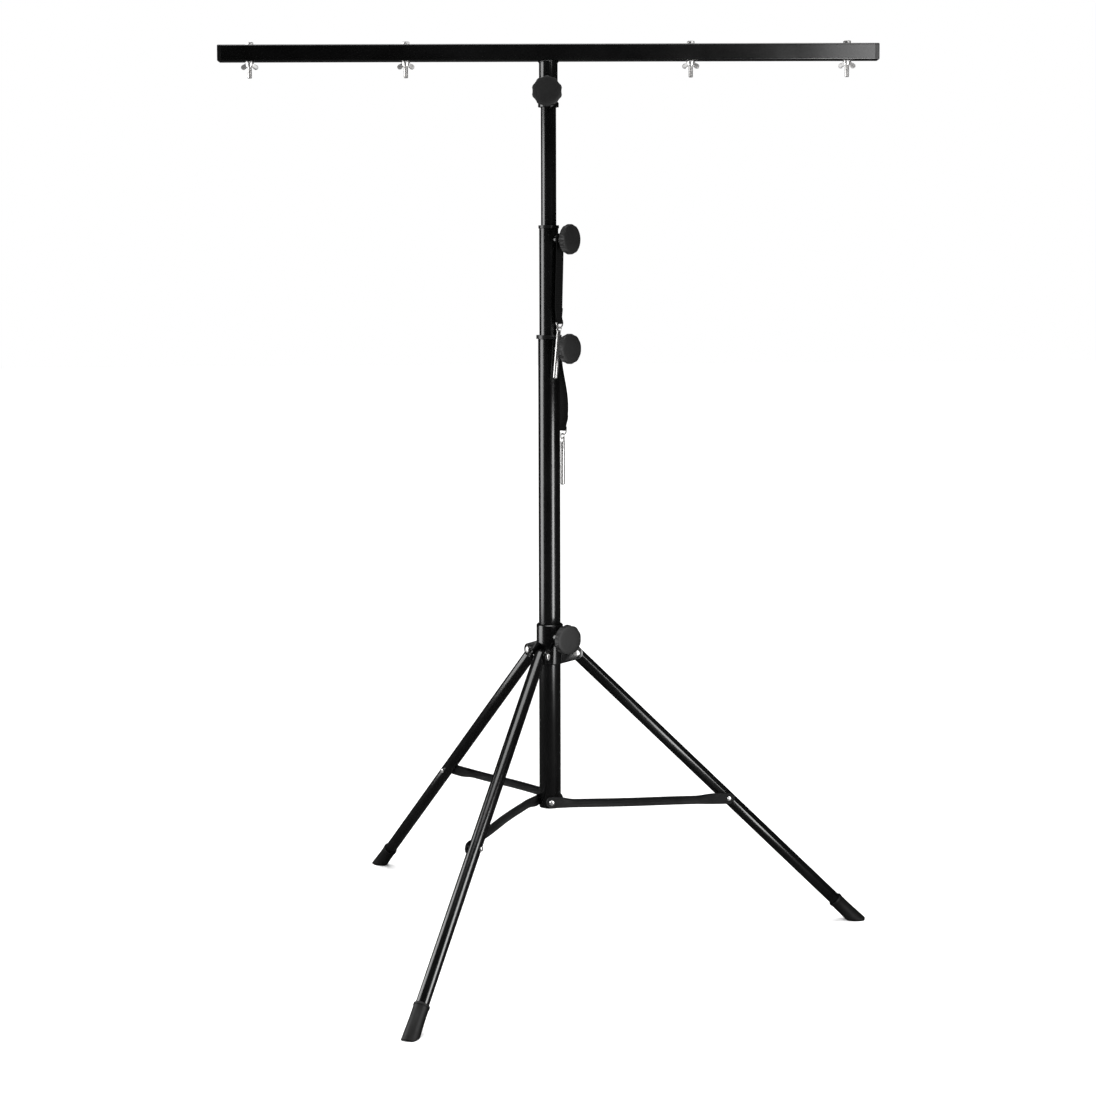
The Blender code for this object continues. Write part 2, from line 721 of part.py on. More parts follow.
def foot_boot():
    """A rubber boot on the leg's end, cut level with the floor."""
    length = leg_length()
    start = length - FOOT_LONG
    end = length + FOOT_PAST_FLOOR
    bore = length - LEG_SHORT_OF_FLOOR + FIT
    profile = [
        (LEG_R + FIT, start),
        (FOOT_R - FOOT_NECK, start),
        (FOOT_R - FOOT_GROOVE, start + FOOT_NECK),
        (FOOT_R - FOOT_GROOVE, start + FOOT_RIM),
        (FOOT_R - FOOT_NECK, start + FOOT_RIM + 2 * FOOT_GROOVE),
        (FOOT_R, end),
        (0, end),
        (0, bore),
        (LEG_R + FIT, bore),
    ]
    bm = bmesh.new()
    bm.from_mesh(turned(profile))
    bm.transform(ALONG_X)
    level = turn(-leg_slope(), "Y") @ Vector((0, 0, -1, 0))
    bmesh.ops.bisect_plane(
        bm,
        geom=bm.verts[:] + bm.edges[:] + bm.faces[:],
        plane_co=(length, 0, 0),
        plane_no=level.to_3d(),
        clear_outer=True,
    )
    bmesh.ops.holes_fill(bm, edges=bm.edges[:])
    return mesh_of(bm)


def brace_length():
    knee = Vector((KNEE_R, KNEE_Z))
    way = (Vector((FLOOR_R, 0)) - knee).normalized()
    joint = knee + BRACE_TO_LEG * way
    return joint, (joint - Vector((0, HUB_Z))).length


def strut_section(along, half, near, far):
    """Flattened tube section: half is half its width across, near and far its sides towards -Y."""
    round_r = min((near - far) / 2, half)
    middle = (near + far) / 2
    thick = (near - far) / 2
    spread = half - round_r
    points = []
    for side in (1, -1):
        for step in range(SIDE_STEPS):
            angle = math.pi * (step / (SIDE_STEPS - 1) - side / 2)
            aside = middle + thick * math.sin(angle)
            points.append((along, aside, side * spread + round_r * math.cos(angle)))
    return points


def blend(low, high, share):
    return low + (high - low) * share * share * (3 - 2 * share)


def strut_stations(length):
    """(along, half width, near side, far side) of the strut: flat, round, drawn over to the leg, flat."""
    mast_side = -BASE_R - FIT
    leg_side = -LEG_R - FIT
    tips = [(FLAT_HALF * math.cos(a), FLAT_HALF * math.sin(a)) for a in map(math.radians, TIP_ANGLES)]
    stations = [(-past, half, mast_side, mast_side - FLAT_THICK) for past, half in tips]
    stations.append((0, FLAT_HALF, mast_side, mast_side - FLAT_THICK))
    for share in (0, *TAPER_SHARES):
        thick = blend(FLAT_THICK, 2 * BRACE_R, share)
        along = INNER_FLAT + INNER_TAPER * share
        stations.append((along, blend(FLAT_HALF, BRACE_R, share), mast_side, mast_side - thick))
    outer_round = length - OUTER_FLAT - OUTER_TAPER
    for share in BOW_SHARES:
        near = blend(mast_side, leg_side, share)
        along = MAST_CLEAR + (outer_round - MAST_CLEAR) * share
        stations.append((along, BRACE_R, near, near - 2 * BRACE_R))
    for share in TAPER_SHARES:
        thick = blend(2 * BRACE_R, FLAT_THICK, share)
        along = outer_round + OUTER_TAPER * share
        stations.append((along, blend(BRACE_R, FLAT_HALF, share), leg_side, leg_side - thick))
    stations.append((length, FLAT_HALF, leg_side, leg_side - FLAT_THICK))
    stations += [(length + past, half, leg_side, leg_side - FLAT_THICK) for past, half in reversed(tips)]
    return stations


def strut():
    """From the mast's pivot at the origin along +X to the pivot on the leg."""
    _, length = brace_length()
    body = lofted([strut_section(*station) for station in strut_stations(length)])
    hub = rod(HUB_BOLT_R + FIT, -THROUGH, THROUGH, place=ALONG_Y)
    end = rod(RIVET_R + FIT, -THROUGH, THROUGH, place=shift(length) @ ALONG_Y)
    return cut(body, hub, end)


def make_legs(root, collar, finishes):
    tube = leg_tube()
    boot = foot_boot()
    bar = strut()
    joint, length = brace_length()
    tilt = -math.degrees(math.atan2(joint.y - HUB_Z, joint.x))
    leg_reach = LEG_R + FIT
    rivet = through_bolt(RIVET_R, -leg_reach - FLAT_THICK - FIT, leg_reach, RIVET_HEAD_R, RIVET_HEAD)
    mast_side = -BASE_R - FIT - FLAT_THICK - FIT
    inside = -math.sqrt((BASE_R - BASE_WALL - FIT) ** 2 - HUB_NUT_R**2) + FIT
    bolt = through_bolt(HUB_BOLT_R, mast_side, inside, HUB_BOLT_HEAD_R, HUB_BOLT_HEAD, HUB_NUT_R)
    for number, azimuth in enumerate(LEG_AZIMUTHS, 1):
        leg = empty(f"leg_axis_{number}", collar, turn(azimuth) @ shift(KNEE_R) @ turn(leg_slope(), "Y"))
        add(f"leg_tube_{number}", tube, finishes["black"], leg)
        add(f"foot_{number}", boot, finishes["rubber"], leg)
        brace = empty(f"brace_axis_{number}", root, turn(azimuth) @ shift(z=HUB_Z) @ turn(tilt, "Y"))
        add(f"brace_{number}", bar, finishes["black"], brace)
        add(f"brace_rivet_{number}", rivet, finishes["bright"], brace, shift(length))
        add(f"brace_bolt_{number}", bolt, finishes["bright"], root, turn(azimuth) @ shift(z=HUB_Z))


def ribbon(stations, thick):
    """A flat strap through (out, aside, height, width) stations, thick across X."""
    rings = []
    for index, (out, aside, height, wide) in enumerate(stations):
        before = stations[max(index - 1, 0)]
        after = stations[min(index + 1, len(stations) - 1)]
        way = Vector((after[0] - before[0], after[2] - before[2])).normalized()
        across = Vector((-way.y, way.x)) * thick / 2
        rings.append(
            [
                (out + sign * across.x, aside + edge * wide / 2, height + sign * across.y)
                for sign, edge in ((1, -1), (1, 1), (-1, 1), (-1, -1))
            ]
        )
    return lofted(rings)


def loop_end(spot):
    """The strap's sewn loop round the ring's straight side, and the bore for that wire."""
    out, aside, height = spot
    place = shift(out, aside, height) @ ALONG_Y
    half = STRAP_LOOP_WIDE / 2
    wall = RING_WIRE + FIT + LOOP_WALL
    return (
        rod(wall, -half, half, place=place),
        rod(RING_WIRE + FIT, -THROUGH, THROUGH, place=place),
    )


def first_strap():
    """Hangs from the second stage's stud, between boss and knob."""
    ring_out, ring_aside, ring_z = FIRST_RING
    drop = ring_z - MIDDLE_KNOB[1]
    stations = [
        (FIRST_OUT, 0, FIRST_TOP, FIRST_SHOULDER_WIDE),
        (FIRST_OUT, 0, FIRST_TOP - FIRST_SHOULDER, STRAP_WIDE),
    ]
    for share in FIRST_SHARES:
        wide = STRAP_WIDE if share < FIRST_NARROW else STRAP_LOOP_WIDE - STRAP_TUCK
        height = drop * share + (STRAP_TUCK if share == 1 else 0)
        stations.append((blend(FIRST_OUT, ring_out, share), blend(0, ring_aside, share), height, wide))
    loop, bore = loop_end((ring_out, ring_aside, drop))
    drill = rod(STUD_R + FIT, 0, THROUGH, place=ALONG_X)
    return cut(joined(ribbon(stations, STRAP_THICK), loop), bore, drill)


def second_strap():
    """Riveted on the base tube, bulging out as webbing does, from z = 0 at its ring."""
    rise = SECOND_TOP - SECOND_RING_Z
    hug = BASE_R + FIT + STRAP_THICK / 2
    stations = []
    for share in SECOND_SHARES:
        wide = STRAP_LOOP_WIDE - STRAP_TUCK if share < SECOND_NARROW else STRAP_WIDE
        out = blend(SECOND_RING_R, hug, share) + SECOND_BULGE * math.sin(math.pi * share) ** 2
        stations.append((out, 0, rise * share + (0 if share else STRAP_TUCK), wide))
    loop, bore = loop_end((SECOND_RING_R, 0, 0))
    strap = joined(ribbon(stations, STRAP_THICK), loop)
    return cut(strap, bore, rod(BASE_R + FIT, -LONG_THROUGH, LONG_THROUGH, ROUND))


def wire(points, radius, closed=True):
    """Round wire through points of the Y-Z plane."""
    rings = []
    count = len(points)
    for index, (y, z) in enumerate(points):
        before = points[(index - 1) % count]
        after = points[(index + 1) % count]
        way = Vector((after[0] - before[0], after[1] - before[1])).normalized()
        ring = []
        for side in range(WIRE_ROUND):
            angle = math.tau * side / WIRE_ROUND
            swell = radius * math.cos(angle)
            ring.append((radius * math.sin(angle), y - way.y * swell, z + way.x * swell))
        rings.append(ring)
    return lofted(rings, closed=closed)


def d_ring():
    """Straight side through the strap's loop at the origin, round side hanging down."""
    bow = arc((0, 0), RING_HALF, *RING_ARC, RING_STEPS)
    shoulder = RING_CORNER - EDGE
    points = [(-RING_CORNER, -RING_DROP), *bow, (RING_CORNER, -RING_DROP), (shoulder, 0), (-shoulder, 0)]
    return wire(points, RING_WIRE)


def link_ring():
    """Small ring between the d-ring's bow and the pin's eye, in the plane that points outwards."""
    centre = -RING_HALF + RING_WIRE + FIT + LINK_WIRE - LINK_R
    circle = arc((0, centre), LINK_R, 0, 360, LINK_STEPS + 1)
    return wire(circle[:-1], LINK_WIRE), centre


def safety_pin(eye_z):
    """Steel pin with a flattened eye round the link's lowest point, hanging down from it."""
    top = eye_z + PIN_EYE_RISE
    tip = top - PIN_LONG
    profile = [(0, top), (PIN_R, top), (PIN_R, tip + PIN_NOSE), (PIN_R - PIN_NOSE, tip), (0, tip)]
    body = turned(profile, SMALL_ROUND)
    waist = PIN_EYE_THICK / 2
    flats = []
    for side in (-1, 1):
        outline = [
            (side * waist, top - PIN_EYE),
            (side * PIN_BLOCK, top - PIN_EYE + PIN_FLARE),
            (side * PIN_BLOCK, top + PIN_BLOCK),
            (side * waist, top + PIN_BLOCK),
        ]
        flats.append(plate(outline, -PIN_BLOCK, PIN_BLOCK))
    eye = rod(LINK_WIRE + 2 * FIT, -THROUGH, THROUGH, place=shift(z=eye_z) @ ALONG_X)
    return cut(body, *flats, eye)


def make_tethers(root, stage, finishes):
    first = empty("first_tether", stage, radial(*MIDDLE_KNOB))
    add("tether_strap_1", first_strap(), finishes["webbing"], first)
    out, aside, height = FIRST_RING
    second = empty("second_tether", root, radial(SECOND_AZIMUTH, SECOND_RING_Z))
    add("tether_strap_2", second_strap(), finishes["webbing"], second)
    bow = d_ring()
    link, centre = link_ring()
    pin = safety_pin(centre - LINK_R)
    hangs = [
        empty("first_pin_axis", first, shift(out, aside, height - MIDDLE_KNOB[1])),
        empty("second_pin_axis", second, shift(SECOND_RING_R)),
    ]
    tilts = [turn(-FIRST_TILT, "X"), Matrix()]
    for number, (hang, tilt) in enumerate(zip(hangs, tilts), 1):
        add(f"tether_ring_{number}", bow, finishes["bright"], hang)
        add(f"tether_link_{number}", link, finishes["bright"], hang, tilt @ turn(90))
        add(f"safety_pin_{number}", pin, finishes["bright"], hang, tilt)


def main():
    clear_scene()
    finishes = {
        "black": finish("black_powder_coat", (0.012, 0.012, 0.013), 0.32, 0.0),
        "plastic": finish("black_plastic", (0.02, 0.02, 0.021), 0.45, 0.0),
        "knob": finish("knob_plastic", (0.035, 0.035, 0.036), 0.55, 0.0),
        "rubber": finish("black_rubber", (0.018, 0.018, 0.018), 0.75, 0.0),
        "bright": finish("bright_zinc", (0.72, 0.72, 0.70), 0.28, 1.0),
        "webbing": finish("black_webbing", (0.015, 0.015, 0.017), 0.85, 0.0),
    }
    root = make_mast(finishes)
    stage = make_middle(root, finishes)
    upper = make_upper(stage, finishes)
    make_head(upper, finishes)
    collar = make_collar(root, finishes)
    make_legs(root, collar, finishes)
    make_tethers(root, stage, finishes)


main()
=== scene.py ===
# %% [markdown]
# # A telescopic light stand, dressed for a studio picture
# The measured solid model is the frame: it holds every moving piece at its true place. Here each of
# its pieces gets a finer double or a better finish. The real stand is welded, drawn and pressed steel
# tube with moulded knobs, so it is made here with the same simple acts: turn, extrude, drill, round off.

# %% load the frame
import math

import bpy
from mathutils import Matrix, Vector


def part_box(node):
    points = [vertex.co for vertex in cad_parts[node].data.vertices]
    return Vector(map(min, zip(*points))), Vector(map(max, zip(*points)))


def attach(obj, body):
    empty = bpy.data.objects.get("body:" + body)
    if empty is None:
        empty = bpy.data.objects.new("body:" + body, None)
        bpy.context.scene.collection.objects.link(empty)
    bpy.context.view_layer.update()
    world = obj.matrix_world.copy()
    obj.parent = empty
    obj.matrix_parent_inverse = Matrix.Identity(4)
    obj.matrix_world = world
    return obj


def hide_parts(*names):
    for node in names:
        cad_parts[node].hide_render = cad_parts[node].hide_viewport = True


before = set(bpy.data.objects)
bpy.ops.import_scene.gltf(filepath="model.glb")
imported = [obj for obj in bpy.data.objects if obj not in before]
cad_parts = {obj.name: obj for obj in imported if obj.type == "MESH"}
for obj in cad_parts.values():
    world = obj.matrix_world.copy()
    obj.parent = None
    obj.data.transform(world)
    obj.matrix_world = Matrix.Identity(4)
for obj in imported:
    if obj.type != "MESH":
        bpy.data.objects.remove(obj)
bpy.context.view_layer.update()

# %% [markdown]
# ## A small language for finishes
# Node trees are hard to read as lists of links. A socket wrapped in a class with + - and * can be written
# as a formula instead, and one method makes every other node. Real coatings are never one flat colour:
# each finish below starts from a constant and lets a formula move it a little.

# %% formulas for node trees
class Signal:
    """One output of a node, ready for arithmetic."""

    def __init__(self, recipe, socket):
        self.recipe = recipe
        self.socket = socket

    def _maths(self, operation, one, other):
        return self.recipe.node("ShaderNodeMath", {"operation": operation}, {0: one, 1: other})

    def __add__(self, other):
        return self._maths("ADD", self, other)

    def __radd__(self, other):
        return self._maths("ADD", other, self)

    def __sub__(self, other):
        return self._maths("SUBTRACT", self, other)

    def __rsub__(self, other):
        return self._maths("SUBTRACT", other, self)

    def __mul__(self, other):
        return self._maths("MULTIPLY", self, other)

    def __rmul__(self, other):
        return self._maths("MULTIPLY", other, self)


class Recipe:
    """The node tree of one finish."""

    def __init__(self, owner):
        owner.use_nodes = True
        self.owner = owner
        self.tree = owner.node_tree

    def node(self, kind, settings=None, sockets=None, output=0):
        """Any node: its type, its settings, its socket values or links, and the output that is wanted."""
        made = self.tree.nodes.new(kind)
        for name, value in (settings or {}).items():
            setattr(made, name, value)
        for key, value in (sockets or {}).items():
            self.feed(made.inputs[key], value)
        return Signal(self, made.outputs[output])

    def feed(self, socket, value):
        if isinstance(value, Signal):
            self.tree.links.new(value.socket, socket)
        else:
            socket.default_value = value

    def noise(self, scale, detail, roughness, stretch=(1, 1, 1)):
        """Cloudy values about one half. Stretch squeezes the clouds along an axis."""
        place = self.node("ShaderNodeTexCoord", output="Object")
        place = self.node("ShaderNodeMapping", None, {"Vector": place, "Scale": stretch})
        sockets = {"Vector": place, "Scale": scale, "Detail": detail, "Roughness": roughness}
        return self.node("ShaderNodeTexNoise", None, sockets)

    def between(self, value, low, high, new_low, new_high):
        """Maps low..high to new_low..new_high and stops at both ends."""
        sockets = {"Value": value, 1: low, 2: high, 3: new_low, 4: new_high}
        return self.node("ShaderNodeMapRange", None, sockets)

    def mixed(self, share, one, other):
        return self.node("ShaderNodeMix", {"data_type": "RGBA"}, {0: share, 6: one, 7: other}, 2)

    def bump(self, height, strength, distance):
        sockets = {"Height": height, "Strength": strength, "Distance": distance}
        return self.node("ShaderNodeBump", None, sockets)


def grey(value, warmth=0.0):
    return (value * (1 + warmth), value, value * (1 - warmth), 1)


def finish(name, constants):
    """A Principled material with its constants set on the shader's own sockets."""
    recipe = Recipe(bpy.data.materials.new(name))
    shader = recipe.tree.nodes["Principled BSDF"]
    for key, value in constants.items():
        shader.inputs[key].default_value = value
    return recipe, shader


print("formula kit ready")

# %% [markdown]
# ## Black powder coat
# The tubes, the bar and the castings are sprayed with dry powder that melts into a hard satin skin. It
# looks almost black, with long soft reflections, because the base is very dark and only the clear top of
# the skin reflects. Up close it has a faint orange peel, and the sliding tubes are rubbed along their
# length. So: a near-black colour, a fine bump and cloudy roughness. A second version has long streaks, and
# a third, for the pressed struts, is duller and a little paler. Its higher roughness gives the struts' matt
# look beside the tubes. Its paler colour is a painted reflection of the dark room on their flat faces.

# %% three powder coats
def powder_coat(name, rubbed=False, tone=0.001, rough=0.17):
    """Tone is the darkest colour, rough the glossiest value; clouds lift both."""
    recipe, shader = finish(name, {"Base Color": grey(0.003), "Roughness": 0.25, "IOR": 1.5})
    clouds = recipe.noise(7.0, 5.0, 0.6)
    peel = recipe.noise(850.0, 2.0, 0.5)
    handled = recipe.between(clouds, 0.35, 0.7, 0.0, 1.0)
    roughness = rough + 0.07 * handled
    if rubbed:
        streaks = recipe.noise(1.0, 3.0, 0.6, (900, 900, 7))
        roughness = roughness + 0.05 * recipe.between(streaks, 0.45, 0.75, 0.0, 1.0)
    recipe.feed(shader.inputs["Roughness"], roughness)
    recipe.feed(shader.inputs["Base Color"], recipe.mixed(handled, grey(tone), grey(tone * 2.6, -0.02)))
    recipe.feed(shader.inputs["Normal"], recipe.bump(peel, 0.03, 0.0003))
    return recipe.owner


coat = powder_coat("powder coat")
rubbed_coat = powder_coat("powder coat, rubbed along", True)
# The struts' coat: rougher for its matt look, and paler as a painted reflection of the dark room.
dull_coat_painted_reflection = powder_coat("powder coat, dull", False, 0.012, 0.38)
print("coats:", coat.name, "/", rubbed_coat.name, "/", dull_coat_painted_reflection.name)

# %% [markdown]
# ## Moulded plastic, two grades, and rubber
# The rings, caps and liner are smooth black plastic. The star knobs are a greyer, matt plastic: their
# mould was spark eroded, which leaves a fine even grain that hides fingerprints. The boots are rubber,
# with paler dust worked into the part that stands on the floor.

# %% plastics and rubber
def moulded(name, tone, rough, grain_scale, grain):
    recipe, shader = finish(name, {"Base Color": grey(tone), "Roughness": rough, "Specular IOR Level": 0.35})
    patches = recipe.noise(25.0, 4.0, 0.6)
    grainy = recipe.noise(grain_scale, 2.0, 0.55)
    worn = recipe.between(patches, 0.35, 0.7, 0.0, 1.0)
    recipe.feed(shader.inputs["Roughness"], (rough - 0.05) + 0.1 * worn)
    recipe.feed(shader.inputs["Base Color"], recipe.mixed(worn, grey(tone * 0.9), grey(tone * 1.15)))
    recipe.feed(shader.inputs["Normal"], recipe.bump(grainy, grain, 0.0004))
    return recipe.owner


plastic = moulded("smooth black plastic", 0.0045, 0.33, 1200.0, 0.05)
knob_plastic = moulded("matt knob plastic", 0.0070, 0.56, 1700.0, 0.30)


def rubber_finish():
    recipe, shader = finish("boot rubber", {"Roughness": 0.7, "Specular IOR Level": 0.2})
    place = recipe.node("ShaderNodeTexCoord", output="Object")
    height = recipe.node("ShaderNodeSeparateXYZ", None, {"Vector": place}, 2)
    dusty = recipe.noise(160.0, 6.0, 0.7)
    low = recipe.between(height, 0.0, 0.02, 1.0, 0.15)
    dust = recipe.between(dusty, 0.42, 0.75, 0.0, 1.0) * low
    recipe.feed(shader.inputs["Base Color"], recipe.mixed(dust, grey(0.0025), grey(0.009, 0.05)))
    recipe.feed(shader.inputs["Roughness"], 0.50 + 0.35 * dust)
    recipe.feed(shader.inputs["Normal"], recipe.bump(dusty, 0.2, 0.0006))
    return recipe.owner


rubber = rubber_finish()
print("plastics:", plastic.name, "/", knob_plastic.name, "/", rubber.name)

# %% [markdown]
# ## Bright zinc
# Bolts, wing nuts, studs, rings and pins are plated. Zinc is a metal mirror that is slightly cloudy, so
# its roughness drifts and it has duller freckles where it has been handled. Metallic stops short of 1:
# the last part stays a pale matt grey, which keeps small parts readable in a dark room.

# %% zinc
def zinc_finish(name, bright, rough):
    recipe, shader = finish(name, {"Metallic": 0.85, "Roughness": rough})
    clouds = recipe.noise(90.0, 5.0, 0.65)
    dull = recipe.between(clouds, 0.4, 0.72, 0.0, 1.0)
    fine = recipe.noise(1500.0, 2.0, 0.5)
    recipe.feed(shader.inputs["Roughness"], (rough - 0.05) + 0.2 * dull)
    tone = recipe.mixed(dull, grey(bright, 0.01), grey(bright * 0.65, 0.02))
    recipe.feed(shader.inputs["Base Color"], tone)
    recipe.feed(shader.inputs["Normal"], recipe.bump(fine, 0.08, 0.0003))
    return recipe.owner


zinc = zinc_finish("bright zinc", 0.66, 0.24)
steel = zinc_finish("drawn steel wire", 0.42, 0.28)
print("metals:", zinc.name, "/", steel.name)

# %% [markdown]
# ## Black webbing
# The tethers are woven nylon tape: threads cross over and under each other and the two edges are
# a little thicker. The weave is drawn from the strap's own UV map, so it follows the strap round its
# bends. A product of two waves gives the over and under, and feeds both the bump and the colour.

# %% webbing
def webbing_finish(across, along):
    recipe, shader = finish("black webbing", {"Roughness": 0.85, "Specular IOR Level": 0.12})
    place = recipe.node("ShaderNodeTexCoord", output="UV")
    u = recipe.node("ShaderNodeSeparateXYZ", None, {"Vector": place}, 0)
    v = recipe.node("ShaderNodeSeparateXYZ", None, {"Vector": place}, 1)
    step = recipe.node("ShaderNodeMath", {"operation": "SINE"}, {0: u * (math.tau * across)})
    row = recipe.node("ShaderNodeMath", {"operation": "SINE"}, {0: v * (math.tau * along) + 1.6 * step})
    weave = 0.5 + 0.5 * step * row
    recipe.feed(shader.inputs["Base Color"], recipe.mixed(weave, grey(0.0008), grey(0.0035)))
    recipe.feed(shader.inputs["Roughness"], 0.92 - 0.18 * weave)
    recipe.feed(shader.inputs["Normal"], recipe.bump(weave, 0.7, 0.0008))
    return recipe.owner


webbing = webbing_finish(11, 60)
print("fabric:", webbing.name)

# %% [markdown]
# ## Hands in edit mode
# Almost every piece of the stand is turned, so one helper does what a lathe does: it draws a circle,
# then extrudes it from station to station and resizes it on the way. Others select faces by a test,
# cut with a tool, and round off the sharp edges. Each works on one object with nothing else selected.
# What the stand has several of is made once, as a pattern, and copied to its places.

# %% modelling helpers
SHARP = math.radians(30)


def only(*things):
    bpy.ops.object.select_all(action="DESELECT")
    for thing in things:
        thing.select_set(True)
    bpy.context.view_layer.objects.active = things[0]


def baked(thing, name, place=None):
    """Names a piece and leaves its place in the mesh, with the object at the origin."""
    only(thing)
    thing.name = name.replace(" ", "-")
    thing.data.name = thing.name
    bpy.ops.object.transform_apply(location=True, rotation=True, scale=True)
    if place is not None:
        thing.matrix_world = place
        bpy.ops.object.transform_apply(location=True, rotation=True, scale=True)
    return thing


def start_edit(thing, kind="VERT", chosen=None):
    """Edit mode with everything selected, or only what passes the test by place or normal."""
    only(thing)
    bpy.ops.object.mode_set(mode="EDIT")
    bpy.ops.mesh.select_mode(type=kind)
    bpy.ops.mesh.select_all(action="DESELECT" if chosen else "SELECT")
    if chosen:
        bpy.ops.object.mode_set(mode="OBJECT")
        mesh = thing.data
        for item in {"VERT": mesh.vertices, "EDGE": mesh.edges, "FACE": mesh.polygons}[kind]:
            item.select = bool(chosen(item))
        bpy.ops.object.mode_set(mode="EDIT")


def end_edit(tidy=False):
    if tidy:
        bpy.ops.mesh.select_all(action="SELECT")
        bpy.ops.mesh.remove_doubles(threshold=1e-6)
        bpy.ops.mesh.normals_make_consistent(inside=False)
    bpy.ops.object.mode_set(mode="OBJECT")


def lathe(name, profile, sides=64, ring=False, place=None):
    """A turned piece through (radius, height) stations. A ring closes on its own first station."""
    (radius, height), *stations = profile
    fill = "NOTHING" if ring else "NGON"
    bpy.ops.mesh.primitive_circle_add(vertices=sides, radius=radius, fill_type=fill, location=(0, 0, height))
    thing = baked(bpy.context.object, name)
    start_edit(thing)
    for new_radius, new_height in stations + (profile[:1] if ring else []):
        bpy.ops.mesh.extrude_region_move(TRANSFORM_OT_translate={"value": (0, 0, new_height - height)})
        share = new_radius / radius
        bpy.ops.transform.resize(value=(share, share, 1), center_override=(0, 0, 0))
        radius, height = new_radius, new_height
    end_edit(tidy=True)
    return baked(thing, name, place)


def cylinder(name, radius, low, high, place=None, sides=48):
    middle = (0, 0, (low + high) / 2)
    bpy.ops.mesh.primitive_cylinder_add(vertices=sides, radius=radius, depth=high - low, location=middle)
    return baked(bpy.context.object, name, place)


def block(name, low, high, place=None):
    """A box between two corners."""
    low, high = Vector(low), Vector(high)
    bpy.ops.mesh.primitive_cube_add(size=1, location=(low + high) / 2)
    bpy.context.object.scale = high - low
    return baked(bpy.context.object, name, place)


def carve(thing, *tools, how="DIFFERENCE"):
    """Cuts the tools away, or joins them on, and clears them from the bench."""
    for tool in tools:
        step = thing.modifiers.new("cut", "BOOLEAN")
        step.operation = how
        step.object = tool
        only(thing)
        bpy.ops.object.modifier_apply(modifier=step.name)
        bpy.data.objects.remove(tool)
    return thing


def soften(thing, width, segments=2, smooth=40):
    """Rounds the sharp edges, as every real edge is, and shades the rest smooth."""
    only(thing)
    if width:
        step = thing.modifiers.new("round off", "BEVEL")
        step.width = width
        step.segments = segments
        step.limit_method = "ANGLE"
        step.angle_limit = SHARP
        bpy.ops.object.modifier_apply(modifier=step.name)
    bpy.ops.object.shade_smooth_by_angle(angle=math.radians(smooth))
    return thing


def flat_shaded(thing):
    """Lets the big faces rule the shading, or the round-offs would bend a flat side's reflections."""
    step = thing.modifiers.new("face normals", "WEIGHTED_NORMAL")
    step.keep_sharp = True
    only(thing)
    bpy.ops.object.modifier_apply(modifier=step.name)
    return thing


def thickened(thing, thick, side):
    """Gives a sheet a wall. Side is -1 for inwards and 0 for half on each side."""
    wall = thing.modifiers.new("wall", "SOLIDIFY")
    wall.thickness = thick
    wall.offset = side
    only(thing)
    bpy.ops.object.modifier_apply(modifier=wall.name)
    return thing


def hull(name, *parts):
    """The tight skin round several bodies, as a plate that is rounded at both ends has."""
    only(*parts)
    bpy.ops.object.join()
    whole = baked(bpy.context.object, name)
    start_edit(whole)
    bpy.ops.mesh.convex_hull()
    end_edit(tidy=True)
    return whole


def copied(thing, name, place=None):
    """One more of a piece, with its own mesh."""
    copy = bpy.data.objects.new(name, thing.data.copy())
    bpy.context.scene.collection.objects.link(copy)
    return baked(copy, name, place)


def clear(*patterns):
    for pattern in patterns:
        bpy.data.objects.remove(pattern)


def repeated(pattern, name, places):
    """Numbered copies of a pattern, one at each place. The pattern itself is cleared away."""
    copies = [copied(pattern, f"{name} {number}", place) for number, place in enumerate(places, 1)]
    clear(pattern)
    return copies


def double(name, node):
    """A copy of a frame piece with its corners merged, still in edit mode."""
    copy = copied(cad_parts[node], name)
    start_edit(copy)
    bpy.ops.mesh.remove_doubles(threshold=1e-5)
    return copy


made = []


def hand_over(thing, material, slot, body, *nodes):
    """Gives a piece its finish, lets it ride its body and stand for the frame's pieces."""
    thing.data.materials.clear()
    thing.data.materials.append(material)
    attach(thing, body)
    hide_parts(*nodes)
    made.append(thing)
    return thing


print("helpers ready")

# %% [markdown]
# ## Places on the stand
# The mast stands on the origin. A knob or a tether sits at an azimuth and a height; a leg starts at its
# knee and dips to the floor; a brace starts at its bolt on the mast. A matrix for each puts a piece that
# was modelled along one axis where it belongs. Sizes come from the frame's own boxes wherever they can.
# Lengths are metres and angles degrees, and GAP is the clearance that every fit in the frame has.

# %% places
def turn(degrees, axis="Z"):
    return Matrix.Rotation(math.radians(degrees), 4, axis)


def shift(x=0.0, y=0.0, z=0.0):
    return Matrix.Translation((x, y, z))


ALONG_X = turn(90, "Y")
ALONG_Y = turn(-90, "X")
GAP = 0.0003
THROUGH = 0.05
STUD_R = 0.005
LEGS = (0, 120, 240)
KNEE = Vector((0.0475, 0, 0.527))
FLOOR_POINT = Vector((0.586, 0, 0))
BRACE_UP = 0.4038
HUB_Z = 0.2505
HEAD_TURN = -7.5
LOCKS = {
    "socket": (-100.5, 1.5524),
    "stage_2": (-43.7, 1.2874),
    "stage_1": (-49.1, 1.0888),
    "collar": (-60, 0.5574),
}

leg_way = FLOOR_POINT - KNEE
leg_long = leg_way.length
leg_dip = math.degrees(math.atan2(-leg_way.z, leg_way.x))
brace_end = KNEE + BRACE_UP * leg_way.normalized()
brace_way = brace_end - Vector((0, 0, HUB_Z))
brace_long = brace_way.length
brace_dip = -math.degrees(math.atan2(brace_way.z, brace_way.x))


def radial(azimuth, height):
    """Out from the mast along +X."""
    return turn(azimuth) @ shift(z=height)


def lock_place(kind):
    """Out along a lock's stud, from the mast's middle."""
    return radial(*LOCKS[kind]) @ ALONG_X


def knee_place(azimuth):
    return turn(azimuth) @ Matrix.Translation(KNEE)


def leg_place(azimuth):
    return knee_place(azimuth) @ turn(leg_dip, "Y")


